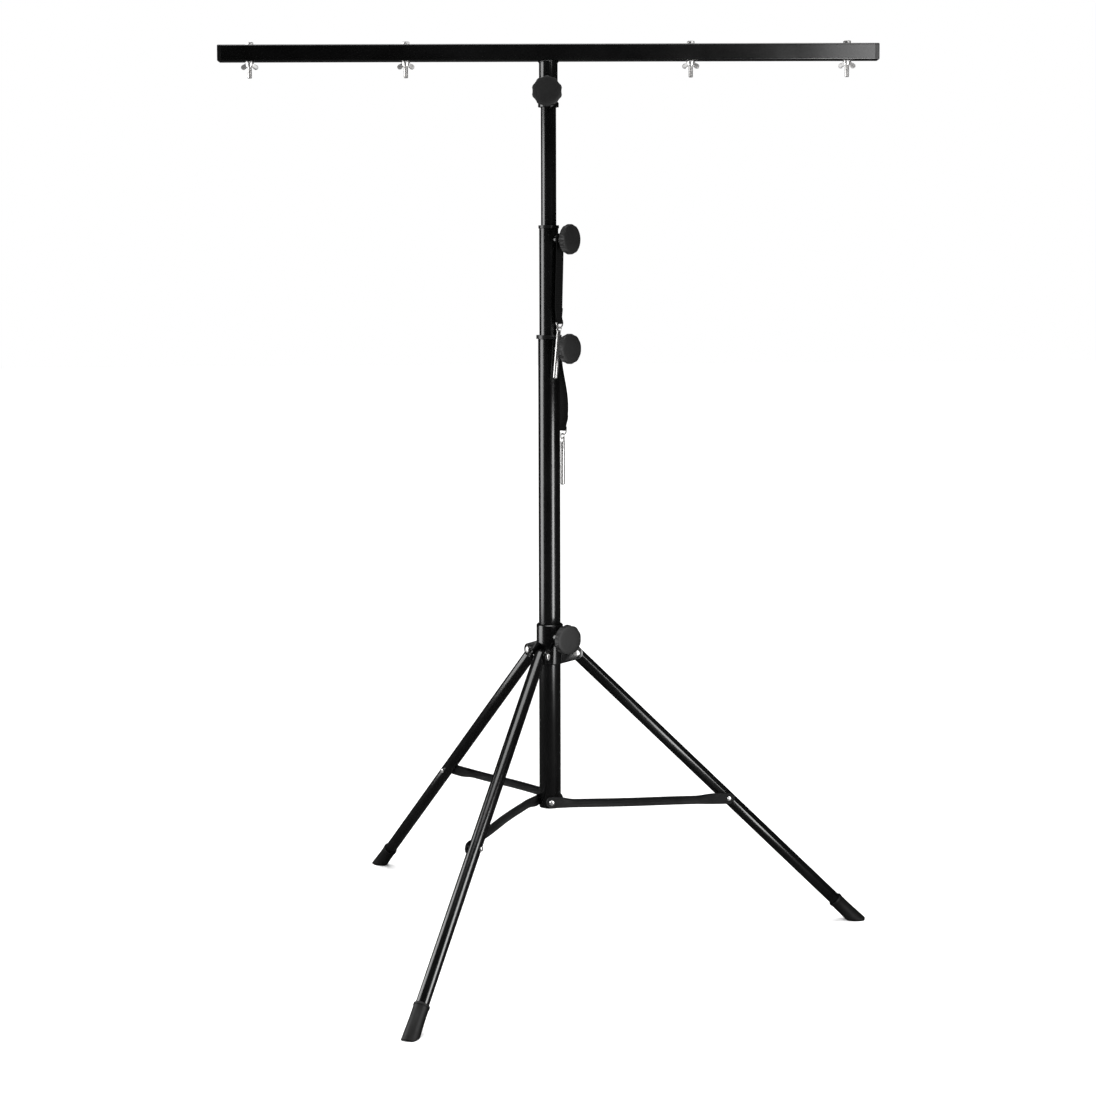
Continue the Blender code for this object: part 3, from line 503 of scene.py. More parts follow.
def brace_place(azimuth):
    return turn(azimuth) @ shift(z=HUB_Z) @ turn(brace_dip, "Y")


def ends(node):
    """Lowest point, highest point and half width of an upright piece."""
    low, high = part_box(node)
    return low.z, high.z, (high.x - low.x) / 2


def drill(radius, place, one_side=False, sides=32):
    """A cutter along Z, right through or from the middle to one side."""
    return cylinder("drill", radius, 0 if one_side else -THROUGH, THROUGH, place, sides)


print(f"leg {leg_long:.3f} m dips {leg_dip:.1f}, brace {brace_long:.3f} m")

# %% [markdown]
# ## The three mast tubes
# Real ones are drawn steel tube: round, thin and straight, with deburred ends. A lathe ring gives wall
# and bore at once. Each is drilled right through for its safety pin, with the cutter lying across it.

# %% mast tubes
WALL = 0.0015
PIN_HOLE_R = 0.005
PIN_HOLE_TURN = 7.5
tube_bodies = {"base_tube": "mast", "stage_2_tube": "stage_2", "stage_3_tube": "stage_3"}
pin_holes = {"base_tube": (1.045,), "stage_2_tube": (0.465, 1.235), "stage_3_tube": (0.685,)}
radius_of = {}


def mast_tube(node, body):
    low, high, outer = ends(node)
    radius_of[node] = outer
    inner = outer - WALL
    profile = [(inner, low), (outer, low), (outer, high), (inner, high)]
    tube = lathe(node.replace("_", " "), profile, 96, True)
    carve(tube, *[drill(PIN_HOLE_R, radial(PIN_HOLE_TURN, z) @ ALONG_X) for z in pin_holes[node]])
    hand_over(soften(tube, 0.0003), rubbed_coat, "black_coat", body, node)


for node, body in tube_bodies.items():
    mast_tube(node, body)
print("tube radii", {node: round(value, 4) for node, value in radius_of.items()})

# %% [markdown]
# ## Plastic lips and the bottom plug
# A moulded ring caps the top of each wide tube, so the next one runs without rattling. Its top edge is
# rounded and it has a fine groove where the mould halves met. The plug closes the mast's bottom end, and
# a liner keeps the leg collar off the mast's coat.

# %% lips, plug and liner
ROOF = 0.002
GROOVE_HALF = 0.0004
GROOVE_DEEP = 0.0002
PLUG_VENT_R = 0.004
PLUG_FLANGE = 0.0018


def lip_piece(node, body, around, through):
    """Skirt round the lower tube, roof over its end, bore for the tube that slides through."""
    low, high, outer = ends(node)
    skirt = radius_of[around] + GAP
    bore = radius_of[through] + GAP
    under_roof = high - ROOF + GAP
    groove = (low + high) / 2
    profile = [
        (skirt, low),
        (outer, low),
        (outer, groove - GROOVE_HALF),
        (outer - GROOVE_DEEP, groove),
        (outer, groove + GROOVE_HALF),
        (outer, high),
        (bore, high),
        (bore, under_roof),
        (skirt, under_roof),
    ]
    piece = soften(lathe(node.replace("_", " "), profile, 96, True), 0.0004)
    return hand_over(piece, plastic, "black_plastic", body, node)


def base_plug():
    low, high, outer = ends("base_plug")
    stem = outer - WALL - GAP
    flange = low + PLUG_FLANGE
    profile = [(PLUG_VENT_R, low), (outer, low), (outer, flange), (stem, flange), (stem, high)]
    plug = soften(lathe("base plug", profile), 0.0004)
    return hand_over(plug, plastic, "black_plastic", "mast", "base_plug")


def collar_liner():
    low, high, outer = ends("collar_liner")
    inner = radius_of["base_tube"] + GAP
    liner = lathe("collar liner", [(inner, low), (outer, low), (outer, high), (inner, high)], 96, True)
    carve(liner, drill(STUD_R + GAP, lock_place("collar"), one_side=True, sides=48))
    return hand_over(soften(liner, 0.0002), plastic, "black_plastic", "collar", "collar_liner")


lip_piece("stage_1_lip", "mast", "base_tube", "stage_2_tube")
lip_piece("stage_2_lip", "stage_2", "stage_2_tube", "stage_3_tube")
base_plug()
collar_liner()
print("plastic rings:", [thing.name for thing in made[-4:]])

# %% [markdown]
# ## The T-bar
# The bar is square steel tube with rolled corners, cut to length, with a hole down through it for each
# lamp bolt. A stretched cube gets its four long edges bevelled into the rolled corners, loses its end
# faces and is given a wall. The end caps are moulded, with a plug inside the bar and a rounded rim.

# %% bar and caps
BAR_HALF = 0.6
BAR_CORNER = 0.003
BAR_WALL = 0.002
CAP = 0.0075
CAP_RIM = 0.0018
CAP_PLUG = 0.018
LAMP_BOLT_R = 0.004
INNER_BOLT = 0.259
OUTER_BOLT = 0.543
bolt_reaches = (-OUTER_BOLT, -INNER_BOLT, INNER_BOLT, OUTER_BOLT)
bar_low, bar_high, _ = ends("t_bar")
side = bar_high - bar_low
bar_z = (bar_low + bar_high) / 2
head = turn(HEAD_TURN)


def bar_length(name, start, stop):
    """A length of the square section with its four long edges rolled."""
    length = block(name, (start, -side / 2, bar_low), (stop, side / 2, bar_high))
    points = length.data.vertices

    def runs_along(edge):
        one, other = edge.vertices
        return abs((points[one].co - points[other].co).normalized().x) > 0.99

    start_edit(length, "EDGE", runs_along)
    bpy.ops.mesh.bevel(offset=BAR_CORNER, segments=5)
    end_edit()
    return length


end = BAR_HALF - CAP - GAP
bar = bar_length("t bar", -end, end)
start_edit(bar, "FACE", lambda face: abs(face.normal.x) > 0.9)
bpy.ops.mesh.delete(type="ONLY_FACE")
end_edit()
thickened(bar, BAR_WALL, -1)
for reach in bolt_reaches:
    carve(bar, drill(LAMP_BOLT_R + GAP, shift(reach, 0, bar_z)))
flat_shaded(baked(soften(bar, 0.0003), "t bar", head))
hand_over(bar, coat, "black_coat", "t_head", "t_bar")


def end_cap():
    """Flange and plug, made at the +X end."""
    flange = bar_length("cap", BAR_HALF - CAP, BAR_HALF)
    start_edit(flange, "FACE", lambda face: face.normal.x > 0.9)
    bpy.ops.mesh.bevel(offset=CAP_RIM, segments=4)
    end_edit()
    inner = side / 2 - BAR_WALL - GAP
    start = BAR_HALF - CAP - CAP_PLUG
    plug = block("plug", (start, -inner, bar_z - inner), (BAR_HALF - CAP + 0.002, inner, bar_z + inner))
    carve(flange, plug, how="UNION")
    return soften(flange, 0.0002)


cap_pattern = end_cap()
for way, facing in (("right", 0), ("left", 180)):
    cap = flat_shaded(copied(cap_pattern, way + " bar cap", head @ turn(facing)))
    hand_over(cap, plastic, "black_plastic", "t_head", "bar_cap_" + way)
clear(cap_pattern)
print("bar side", round(side, 4), "faces", len(bar.data.polygons))

# %% [markdown]
# ## Socket and bosses
# Under the bar a short sleeve is welded, with a rolled lip at its mouth. The weld is a real bead: a ring
# of small overlapping scales. Here a thick torus has every second scale swollen, then joins the sleeve.
# Each boss is a short threaded bush whose foot is hollowed by the tube that it is welded to.

# %% socket, weld and bosses
SLEEVE_R = 0.017
SOCKET_LIP = 0.0076
SOCKET_EASE = 0.0014
BEAD_R = 0.0014
BEAD_SCALE = 9
BOSS_R = 0.008
BOSS_TALL = 0.0047


def weld_bead(height):
    """A ring of scales, one every few degrees, cut flat where the bar lies on it."""
    bpy.ops.mesh.primitive_torus_add(
        location=(0, 0, height - 0.0012),
        major_radius=SLEEVE_R,
        minor_radius=BEAD_R,
        major_segments=120,
        minor_segments=14,
    )
    bead = baked(bpy.context.object, "bead")

    def on_a_scale(vert):
        return int(math.degrees(math.atan2(vert.co.y, vert.co.x)) // BEAD_SCALE) % 2 == 0

    start_edit(bead, "VERT", on_a_scale)
    bpy.ops.transform.shrink_fatten(value=0.00022)
    end_edit()
    return carve(bead, block("trim", (-0.03, -0.03, height - 0.0001), (0.03, 0.03, height + 0.01)))


def bar_socket():
    low, high, outer = ends("t_socket")
    bore = radius_of["stage_3_tube"] + GAP
    lip = low + SOCKET_LIP
    mouth = [(bore, low), (outer, low), (outer, lip)]
    sleeve = [(SLEEVE_R, lip + SOCKET_EASE), (SLEEVE_R, high), (bore, high)]
    socket = lathe("bar socket", mouth + sleeve, 96, True)
    carve(socket, weld_bead(high), how="UNION")
    carve(socket, drill(STUD_R + GAP, turn(-HEAD_TURN) @ lock_place("socket"), one_side=True, sides=48))
    baked(soften(socket, 0.0003), "bar socket", head)
    return hand_over(socket, coat, "black_coat", "t_head", "t_socket")


def boss(name, node, body, kind, tube_radius):
    """A bush along X from the mast's middle, hollowed by its tube and stood at its lock's place."""
    bore = STUD_R + GAP
    top = tube_radius + BOSS_TALL
    bush = lathe(name, [(bore, 0.005), (BOSS_R, 0.005), (BOSS_R, top), (bore, top)], 48, True, ALONG_X)
    carve(bush, cylinder("tube", tube_radius + GAP, -THROUGH, THROUGH, sides=96))
    soften(bush, 0.0006, 3)
    hand_over(baked(bush, name, radial(*LOCKS[kind])), coat, "black_coat", body, node)


bar_socket()
boss("base boss", "stage_1_boss", "mast", "stage_1", radius_of["base_tube"])
boss("middle boss", "stage_2_boss", "stage_2", "stage_2", radius_of["stage_2_tube"])
boss("socket boss", "socket_boss", "t_head", "socket", SLEEVE_R)
print("bosses:", [thing.name for thing in made[-3:]])

# %% [markdown]
# ## Star knobs
# Ten shallow hollows meet in points round the rim, so a gloved hand can grip it. The blank is turned,
# with a hub, an undercut and a slightly domed face; ten big cutters scallop its rim; thin ribs stiffen
# the undercut, as in the moulding. The stud behind it is turned with the thread's grooves.

# %% knobs and studs
KNOB_R = 0.0275
KNOB_LONG = 0.022
LOBES = 10
SCALLOP_R = 0.0222
SCALLOP_DEEP = 0.0017
STUD_SHOWN = 0.0095
SOCKET_DEEP = 0.014
CHAMFER = 0.001
LOCK_PITCH = 0.0015


def star_knob():
    hub = [(STUD_R + GAP, 0), (0.0105, 0), (0.0122, 0.0035), (0.0145, 0.0058)]
    back = [(0.0215, 0.0084), (0.0258, 0.0100)]
    rim = [(KNOB_R, 0.0118), (KNOB_R, 0.0188), (0.0270, 0.0203), (0.0256, 0.0213)]
    face = [(0.0205, 0.0218), (0.0120, KNOB_LONG - 0.0001), (0.0040, KNOB_LONG)]
    knob = lathe("knob", hub + back + rim + face, 120)
    rib = block("rib", (0.008, -0.0009, 0.0015), (0.0225, 0.0009, 0.0135))
    slope = shift(0.0105, 0, 0.0008) @ turn(-38, "Y")
    carve(rib, block("trim", (0.0, -0.01, -0.02), (0.05, 0.01, 0.0), slope))
    hollow = cylinder("hollow", SCALLOP_R, -0.01, 0.03, shift(KNOB_R - SCALLOP_DEEP + SCALLOP_R), 96)
    step = 360 / LOBES
    carve(knob, *[copied(rib, "rib", turn(step * lobe)) for lobe in range(LOBES)], how="UNION")
    carve(knob, *[copied(hollow, "hollow", turn(step * (lobe + 0.5))) for lobe in range(LOBES)])
    carve(knob, cylinder("bore", STUD_R + GAP, -0.01, SOCKET_DEEP, sides=32))
    clear(rib, hollow)
    return soften(knob, 0.0005, 2, 35)


def threaded(name, radius, low, high, pitch, depth):
    """A stud along Z with chamfered ends and thread grooves."""
    tip = radius - CHAMFER - 0.0001
    profile = [(tip, low), (radius, low + CHAMFER)]
    height = low + CHAMFER
    while height + pitch < high - CHAMFER - 0.0001:
        profile += [(radius, height + pitch * 0.3), (radius - depth, height + pitch * 0.65)]
        height += pitch
        profile += [(radius, height)]
    profile += [(radius, high - CHAMFER), (tip, high)]
    return soften(lathe(name, profile, 32), 0, smooth=50)


def lock(kind, body, tube_radius, presses_on):
    """Stud and knob: the stud reaches through its boss to the tube inside."""
    knob_from = tube_radius + BOSS_TALL + STUD_SHOWN
    low, high = presses_on + GAP, knob_from + SOCKET_DEEP - GAP
    stud = threaded(kind + " stud", STUD_R, low, high, LOCK_PITCH, 0.0005)
    hand_over(baked(stud, kind + " stud", lock_place(kind)), zinc, "zinc", body, kind + "_screw")
    knob = copied(knob_pattern, kind + " knob", lock_place(kind) @ shift(z=knob_from))
    hand_over(knob, knob_plastic, "knob_plastic", body, kind + "_knob")


COLLAR_R = 0.0245
knob_pattern = star_knob()
lock("socket", "socket_lock", SLEEVE_R, radius_of["stage_3_tube"])
lock("stage_2", "stage_2_lock", radius_of["stage_2_tube"], radius_of["stage_3_tube"])
lock("stage_1", "stage_1_lock", radius_of["base_tube"], radius_of["stage_2_tube"])
lock("collar", "collar_lock", COLLAR_R, radius_of["base_tube"])
print("one knob has", len(knob_pattern.data.polygons), "faces")
clear(knob_pattern)

# %% [markdown]
# ## Lamp bolts and wing nuts
# Four hexagon bolts drop through the bar, and a cast wing nut runs on each from below. The nut is a
# cone-shaped hub with two flared ears. An ear is the skin round a small disc in the hub and a bigger one
# at its tip; the two ears are joined to the hub and every edge is rounded, as in a zinc casting.

# %% bolts and wing nuts
HEX_ACROSS = 0.013
HEX_TALL = 0.0053
BOLT_LONG = 0.060
LAMP_PITCH = 0.00125


def lamp_bolt():
    """A six-sided head whose corners are turned off by a cone, on a threaded shank."""
    corner = HEX_ACROSS / math.sqrt(3)
    bolt = lathe("bolt", [(corner, GAP), (corner, HEX_TALL)], 6)
    wide = corner + 0.003
    crown = [(0.0060, HEX_TALL), (0.0060, HEX_TALL + 0.0007)]
    cone = lathe("cone", [(wide, -0.001), (wide, HEX_TALL - 0.002), *crown], 48)
    soften(carve(bolt, cone, how="INTERSECT"), 0.0002)
    shank = threaded("shank", LAMP_BOLT_R, -BOLT_LONG, 0.002, LAMP_PITCH, 0.00045)
    carve(bolt, shank, how="UNION")
    return soften(bolt, 0, smooth=35)


def wing_nut():
    hub = [(0.0078, -GAP), (0.0078, -0.0022), (0.0070, -0.0040), (0.0058, -0.0086), (0.0052, -0.009)]
    nut = lathe("nut", hub, 48)
    near = cylinder("near", 0.0028, -0.0015, 0.0015, shift(0.0035, 0, -0.0045) @ ALONG_Y, 32)
    far = cylinder("far", 0.0045, -0.0013, 0.0013, shift(0.011, 0, -0.010) @ ALONG_Y, 32)
    ear = hull("ear", near, far)
    carve(nut, copied(ear, "other ear", turn(180)), ear, how="UNION")
    carve(nut, cylinder("bore", LAMP_BOLT_R + GAP, -0.02, 0.01, sides=32))
    return soften(nut, 0.0005, 3)


on_top = [head @ shift(reach, 0, bar_high) for reach in bolt_reaches]
below = [head @ shift(reach, 0, bar_low) for reach in bolt_reaches]
bolts = repeated(lamp_bolt(), "lamp bolt", on_top)
nuts = repeated(wing_nut(), "wing nut", below)
for number, (bolt, nut) in enumerate(zip(bolts, nuts), 1):
    hand_over(bolt, zinc, "zinc", "t_head", f"hex_bolt_{number}")
    hand_over(nut, zinc, "zinc", f"bar_nut_{number}", f"wing_nut_{number}")
print("bolts and nuts:", [thing.name for thing in made[-8:]])

# %% [markdown]
# ## The leg collar
# One casting slides on the mast and holds the three legs in forks. A turned sleeve is joined by six
# cheeks, each the skin round a nose disc and a thin slab against the sleeve, and by the bush for its
# lock. Then mast bore, pivots and stud are drilled, and a wide round-off gives the look of a casting.

# %% collar and pivots
LEG_R = 0.0115
CHEEK = 0.003
CHEEK_NOSE = 0.012
CHEEK_TOP = 0.548
COLLAR_BORE = 0.022
COLLAR_EASE = 0.002
KNUCKLE_R = 0.010
PIVOT_R = 0.004
RIVET_R = 0.003


def cheek(low, start):
    """One side of a fork, from a disc round the pivot back to the sleeve."""
    nose = cylinder("nose", CHEEK_NOSE, start, start + CHEEK, knee_place(0) @ ALONG_Y)
    root = block("root", (0.017, start, low + 0.001), (0.020, start + CHEEK, CHEEK_TOP))
    return hull("cheek", nose, root)


def leg_collar():
    low, high, _ = ends("leg_collar")
    bored, eased = COLLAR_BORE + 0.0008, COLLAR_R - COLLAR_EASE
    outside = [(eased, low), (COLLAR_R, low + COLLAR_EASE), (COLLAR_R, high - COLLAR_EASE), (eased, high)]
    collar = lathe("leg collar", [(bored, low), *outside, (bored, high)], 96)
    cheeks = [cheek(low, start) for start in (-LEG_R - GAP - CHEEK, LEG_R + GAP)]
    for azimuth in LEGS:
        carve(collar, *[copied(one, "fork", turn(azimuth)) for one in cheeks], how="UNION")
    clear(*cheeks)
    carve(collar, cylinder("knuckle", KNUCKLE_R, 0, COLLAR_R + BOSS_TALL, lock_place("collar")), how="UNION")
    carve(collar, cylinder("mast bore", COLLAR_BORE, low - 0.1, high + 0.1, sides=96))
    carve(collar, drill(STUD_R + GAP, lock_place("collar"), one_side=True))
    for azimuth in LEGS:
        carve(collar, drill(PIVOT_R + GAP, knee_place(azimuth) @ ALONG_Y))
    soften(collar, 0.0007, 3, 45)
    return hand_over(collar, coat, "black_coat", "collar", "leg_collar")


def fitted_bolt(radius, low, high, head_r, head_tall, nut_r=None, nut_sides=48):
    """A domed head, a plain shank and a nut or a second head, all along Y."""
    nut_r = nut_r or head_r
    dome = [(0.35, 1.0), (0.75, 0.88), (0.97, 0.5), (1.0, 0.0)]
    profile = [(head_r * out, low - head_tall * up) for out, up in dome]
    shank = lathe("shank", [*profile, (radius, low), (radius, high + 0.0004)], 48)
    body = [(nut_r, high), (nut_r, high + head_tall * 0.75), (nut_r * 0.8, high + head_tall)]
    carve(shank, lathe("nut", body, nut_sides), how="UNION")
    soften(shank, 0.00025, 2, 35)
    return baked(shank, "shank", ALONG_Y)


collar = leg_collar()
grip = LEG_R + CHEEK + 2 * GAP
pivot_pattern = fitted_bolt(PIVOT_R, -grip, grip, 0.0065, 0.0033, 0.0065, 6)
for number, pivot in enumerate(repeated(pivot_pattern, "leg pivot", map(knee_place, LEGS)), 1):
    hand_over(pivot, zinc, "zinc", "collar", f"leg_pivot_{number}")
print("collar faces", len(collar.data.polygons))

# %% [markdown]
# ## Legs and boots
# Each leg is round tube with a domed end at the knee. Its boot is moulded rubber that flares towards the
# floor, with a bead round its mouth. The boot is turned along the leg first; then one bisect along the
# floor, with fill, makes the sole flat, just as wear does, whatever the leg's slope.

# %% legs and boots
DOME_LONG = 0.0125
TUBE_SHORT = 0.020
BOOT_LONG = 0.058
BOOT_BEAD = 0.0141
BOOT_R = 0.0133
BOOT_END = 0.0145


def leg():
    angles = [math.radians(angle) for angle in (12, 30, 48, 66, 80, 90)]
    dome = [(LEG_R * math.sin(angle), -DOME_LONG * math.cos(angle)) for angle in angles]
    end = leg_long - TUBE_SHORT
    inside = [(LEG_R - WALL, end), (LEG_R - WALL, 0.016), (0.0005, 0.016)]
    tube = lathe("leg", [*dome, (LEG_R, end), *inside], 64, False, ALONG_X)
    carve(tube, drill(PIVOT_R + GAP, ALONG_Y))
    carve(tube, drill(RIVET_R + 2 * GAP, shift(BRACE_UP) @ ALONG_Y))
    return soften(tube, 0.0002, 2, 50)


def boot():
    """Made on the leg along +X, where the floor can cut it."""
    start = leg_long - BOOT_LONG
    mouth = [(BOOT_BEAD, start), (BOOT_BEAD, start + 0.004), (BOOT_R, start + 0.0048)]
    shell = lathe("boot", [*mouth, (BOOT_R, start + 0.024), (BOOT_END, leg_long + 0.0096)], 64)
    carve(shell, cylinder("bore", LEG_R + GAP, start - 0.01, leg_long - TUBE_SHORT + GAP, sides=64))
    soften(shell, 0.0004)
    baked(shell, "boot", leg_place(0) @ ALONG_X)
    start_edit(shell)
    bpy.ops.mesh.bisect(plane_co=(0, 0, 0.00002), plane_no=(0, 0, 1), use_fill=True, clear_inner=True)
    end_edit(tidy=True)
    return soften(shell, 0)


tubes = repeated(leg(), "leg", map(leg_place, LEGS))
boots = repeated(boot(), "boot", map(turn, LEGS))
for number, (tube, shell) in enumerate(zip(tubes, boots), 1):
    hand_over(tube, coat, "black_coat", f"leg_{number}", f"leg_tube_{number}")
    hand_over(shell, rubber, "rubber", f"leg_{number}", f"foot_{number}")
print("boots stand at", round(min(vert.co.z for vert in made[-1].data.vertices), 5))

# %% [markdown]
# ## Braces
# A brace is one tube whose two ends were pressed flat round a rivet and drawn over to meet the leg. That
# shape is already in the frame, so a copy is merged, its triangles dissolved back into flat faces, and
# its corners rounded by a bevel: quicker than a new one, and the holes stay where they must be.

# %% braces with their rivets and bolts
FLAT_THICK = 0.003
NUT_HALF = 0.0055
FLAT_ANGLE = math.radians(0.5)


def brace_tube(number):
    tube = double(f"brace {number}", f"brace_{number}")
    bpy.ops.mesh.dissolve_limited(angle_limit=FLAT_ANGLE)
    bpy.ops.mesh.normals_make_consistent(inside=False)
    end_edit()
    return soften(tube, 0.0004, 2, 50)


def brace_rivet():
    """Through the brace's flat end and the leg."""
    far = LEG_R + GAP
    return fitted_bolt(RIVET_R, -far - FLAT_THICK - GAP, far, 0.0043, 0.0024)


def brace_bolt():
    """Through the brace's other end and the mast's wall, with its nut against the wall's inside."""
    tube_r = radius_of["base_tube"]
    inside = GAP - math.sqrt((tube_r - WALL - GAP) ** 2 - NUT_HALF**2)
    return fitted_bolt(RIVET_R, -tube_r - FLAT_THICK - 2 * GAP, inside, 0.005, 0.0034, NUT_HALF, 6)


at_legs = [brace_place(azimuth) @ shift(brace_long) for azimuth in LEGS]
at_mast = [radial(azimuth, HUB_Z) for azimuth in LEGS]
rivets = repeated(brace_rivet(), "brace rivet", at_legs)
bolts = repeated(brace_bolt(), "brace bolt", at_mast)
for number, (rivet, bolt) in enumerate(zip(rivets, bolts), 1):
    brace = brace_tube(number)
    # The struts' coat has a painted reflection: its tone is paler than the tubes' coat.
    hand_over(brace, dull_coat_painted_reflection, "black_coat", f"brace_arm_{number}", f"brace_{number}")
    hand_over(rivet, zinc, "zinc", f"brace_arm_{number}", f"brace_rivet_{number}")
    hand_over(bolt, zinc, "zinc", "mast", f"brace_bolt_{number}")
print("brace faces", len(brace.data.polygons))

# %% [markdown]
# ## Webbing tethers
# A strap is a flat grid. Its rows are turned, narrowed and moved one by one onto the line that the tape
# hangs in, so the grid's UV map still runs along it and the weave follows. The line ends by going round
# the ring's straight side and back up, as the sewn loop does. A solidify then gives the thickness.

# %% straps
STRAP_THICK = 0.0012
STRAP_WIDE = 0.022
LOOP_WIDE = 0.0160
RING_WIRE_R = 0.00125
WRAP = RING_WIRE_R + GAP + STRAP_THICK / 2
LINE_STEPS = 30
BACK_UP = (0.0, 0.003, 0.006, 0.010, 0.015, 0.020, 0.026)


def smooth_step(share):
    share = min(max(share, 0.0), 1.0)
    return share * share * (3 - 2 * share)


def looped(line, ring_out, ring_z):
    """Points of (out, height, width) down a line, round the ring's wire and back up outside the tape."""
    points = [line(step / LINE_STEPS) for step in range(LINE_STEPS + 1)]
    down = sorted(points, key=lambda point: point[1])
    for step in range(1, 8):
        angle = math.radians(180 + 180 * step / 8)
        points.append((ring_out + WRAP * math.cos(angle), ring_z + WRAP * math.sin(angle), LOOP_WIDE))
    for height in BACK_UP:
        at = ring_z + height
        out, _, wide = min(down, key=lambda point: abs(point[1] - at))
        lift = 2 * WRAP + (STRAP_THICK * 1.06 - 2 * WRAP) * smooth_step(height / 0.010)
        points.append((out + lift, at, wide if height else LOOP_WIDE))
    return points


def tape(name, points, aside_of):
    """A grid whose rows are laid on the points."""
    count = len(points) - 1
    bpy.ops.mesh.primitive_grid_add(x_subdivisions=8, y_subdivisions=count, size=1)
    strap = baked(bpy.context.object, name)
    columns = len(strap.data.vertices) // (count + 1)
    for row, (out, height, wide) in enumerate(points):
        level = row / count - 0.5
        start_edit(strap, "VERT", lambda vert: vert.index // columns == row)
        bpy.ops.transform.resize(value=(wide, 1, 1), center_override=(0, level, 0))
        bpy.ops.transform.rotate(value=math.pi / 2, orient_axis="Z", center_override=(0, level, 0))
        bpy.ops.transform.translate(value=(out, aside_of(height) - level, height))
        end_edit()
    return soften(thickened(strap, STRAP_THICK, 0), 0.0003, 2, 50)


RING_1 = Vector((0.02824, -0.0059, 1.1365))
RING_2 = Vector((0.0365, 0.0, 0.9385))
FIRST_OUT = 0.02505
FIRST_SHOULDER = 0.011
SECOND_TOP = 1.090
SECOND_BOW = 0.0088
SECOND_TURN = 40
RIVET_UP = 1.080
first_turn, stud_z = LOCKS["stage_2"]


def narrowed(share, from_share):
    return STRAP_WIDE + (LOOP_WIDE - STRAP_WIDE) * smooth_step((share - from_share) / (1 - from_share))


def first_line(share):
    """Straight down from the stud between boss and knob, with a narrow shoulder above it."""
    out = FIRST_OUT + (RING_1.x - WRAP - FIRST_OUT) * smooth_step(share)
    top = stud_z + FIRST_SHOULDER
    width = narrowed(share, 0.8) * (0.8 + 0.2 * smooth_step(share / 0.05))
    return out, top + (RING_1.z - top) * share, width


def first_aside(height):
    return RING_1.y * smooth_step((stud_z - height) / 0.15)


def second_line(share):
    """From the rivet on the mast, bulging out as stiff webbing does before it hangs."""
    hug = radius_of["base_tube"] + GAP + 0.001
    up = 1 - share
    bow = SECOND_BOW * math.sin(math.pi * up**0.7) ** 2
    out = RING_2.x - WRAP + (hug - RING_2.x + WRAP) * smooth_step(up) + bow
    return out, RING_2.z + (SECOND_TOP - RING_2.z) * up, narrowed(share, 0.85)


strap_1 = tape("upper strap", looped(first_line, RING_1.x, RING_1.z), first_aside)
carve(strap_1, drill(STUD_R + GAP, shift(z=stud_z) @ ALONG_X, one_side=True))
hand_over(baked(strap_1, "upper strap", turn(first_turn)), webbing, "webbing", "stage_2", "tether_strap_1")
strap_2 = tape("lower strap", looped(second_line, RING_2.x, RING_2.z), lambda height: 0.0)
hand_over(baked(strap_2, "lower strap", turn(SECOND_TURN)), webbing, "webbing", "mast", "tether_strap_2")
button = lathe("strap rivet", [(0.0015, 0.0240), (0.0035, 0.0238), (0.0045, 0.0230), (0.0045, 0.0222)], 32)
hand_over(baked(button, "strap rivet", radial(SECOND_TURN, RIVET_UP) @ ALONG_X), zinc, "zinc", "mast")
print("straps:", len(strap_1.data.polygons), len(strap_2.data.polygons), "faces")

# %% [markdown]
# ## Rings, links and safety pins
# Bent wire is already in the frame as a six-sided sketch. A merged copy with two levels of subdivision
# makes it round, and a small fatten gives back what the smoothing took. The pins are turned steel with a
# flattened, drilled eye: two blocks cut the flats, a thin drill the eye, and the edges are broken.

# %% rings, links and pins
PIN_R = 0.00425
PIN_TOP = -0.01395
PIN_LONG = 0.089
PIN_FLAT = 0.0015
PIN_FLAT_TALL = 0.0085
PIN_EYE_DOWN = 0.0035


def round_wire(name, node, body, swell):
    wire = double(name, node)
    bpy.ops.mesh.tris_convert_to_quads()
    bpy.ops.mesh.normals_make_consistent(inside=False)
    end_edit()
    smooth = wire.modifiers.new("round", "SUBSURF")
    smooth.levels = 2
    only(wire)
    bpy.ops.object.modifier_apply(modifier=smooth.name)
    start_edit(wire)
    bpy.ops.transform.shrink_fatten(value=swell)
    end_edit()
    soften(wire, 0, smooth=60)
    return hand_over(wire, steel, "zinc", body, node)


def safety_pin():
    foot = PIN_TOP - PIN_LONG
    nose = [(0.0012, foot), (0.0030, foot + 0.0006), (0.0040, foot + 0.0018), (PIN_R, foot + 0.0034)]
    crown = [(PIN_R, PIN_TOP - 0.0022), (0.0037, PIN_TOP - 0.0008), (0.0025, PIN_TOP)]
    pin = lathe("pin", nose + crown, 48)
    for near, far in ((-0.01, -PIN_FLAT), (PIN_FLAT, 0.01)):
        carve(pin, block("flat", (near, -0.01, PIN_TOP - PIN_FLAT_TALL), (far, 0.01, PIN_TOP + 0.01)))
    carve(pin, drill(0.0016, shift(z=PIN_TOP - PIN_EYE_DOWN) @ ALONG_X))
    return soften(pin, 0.0002)


hangs = [
    turn(first_turn) @ Matrix.Translation(RING_1) @ turn(-8, "X"),
    turn(SECOND_TURN) @ Matrix.Translation(RING_2),
]
pins = repeated(safety_pin(), "safety pin", hangs)
for number, (pin, carrier) in enumerate(zip(pins, ("stage_2", "mast")), 1):
    round_wire(f"tether ring {number}", f"tether_ring_{number}", carrier, 0.00010)
    round_wire(f"tether link {number}", f"tether_link_{number}", f"hanging_pin_{number}", 0.00008)
    hand_over(pin, steel, "zinc", f"hanging_pin_{number}", f"safety_pin_{number}")
print("hanging pieces:", [thing.name for thing in made[-6:]])

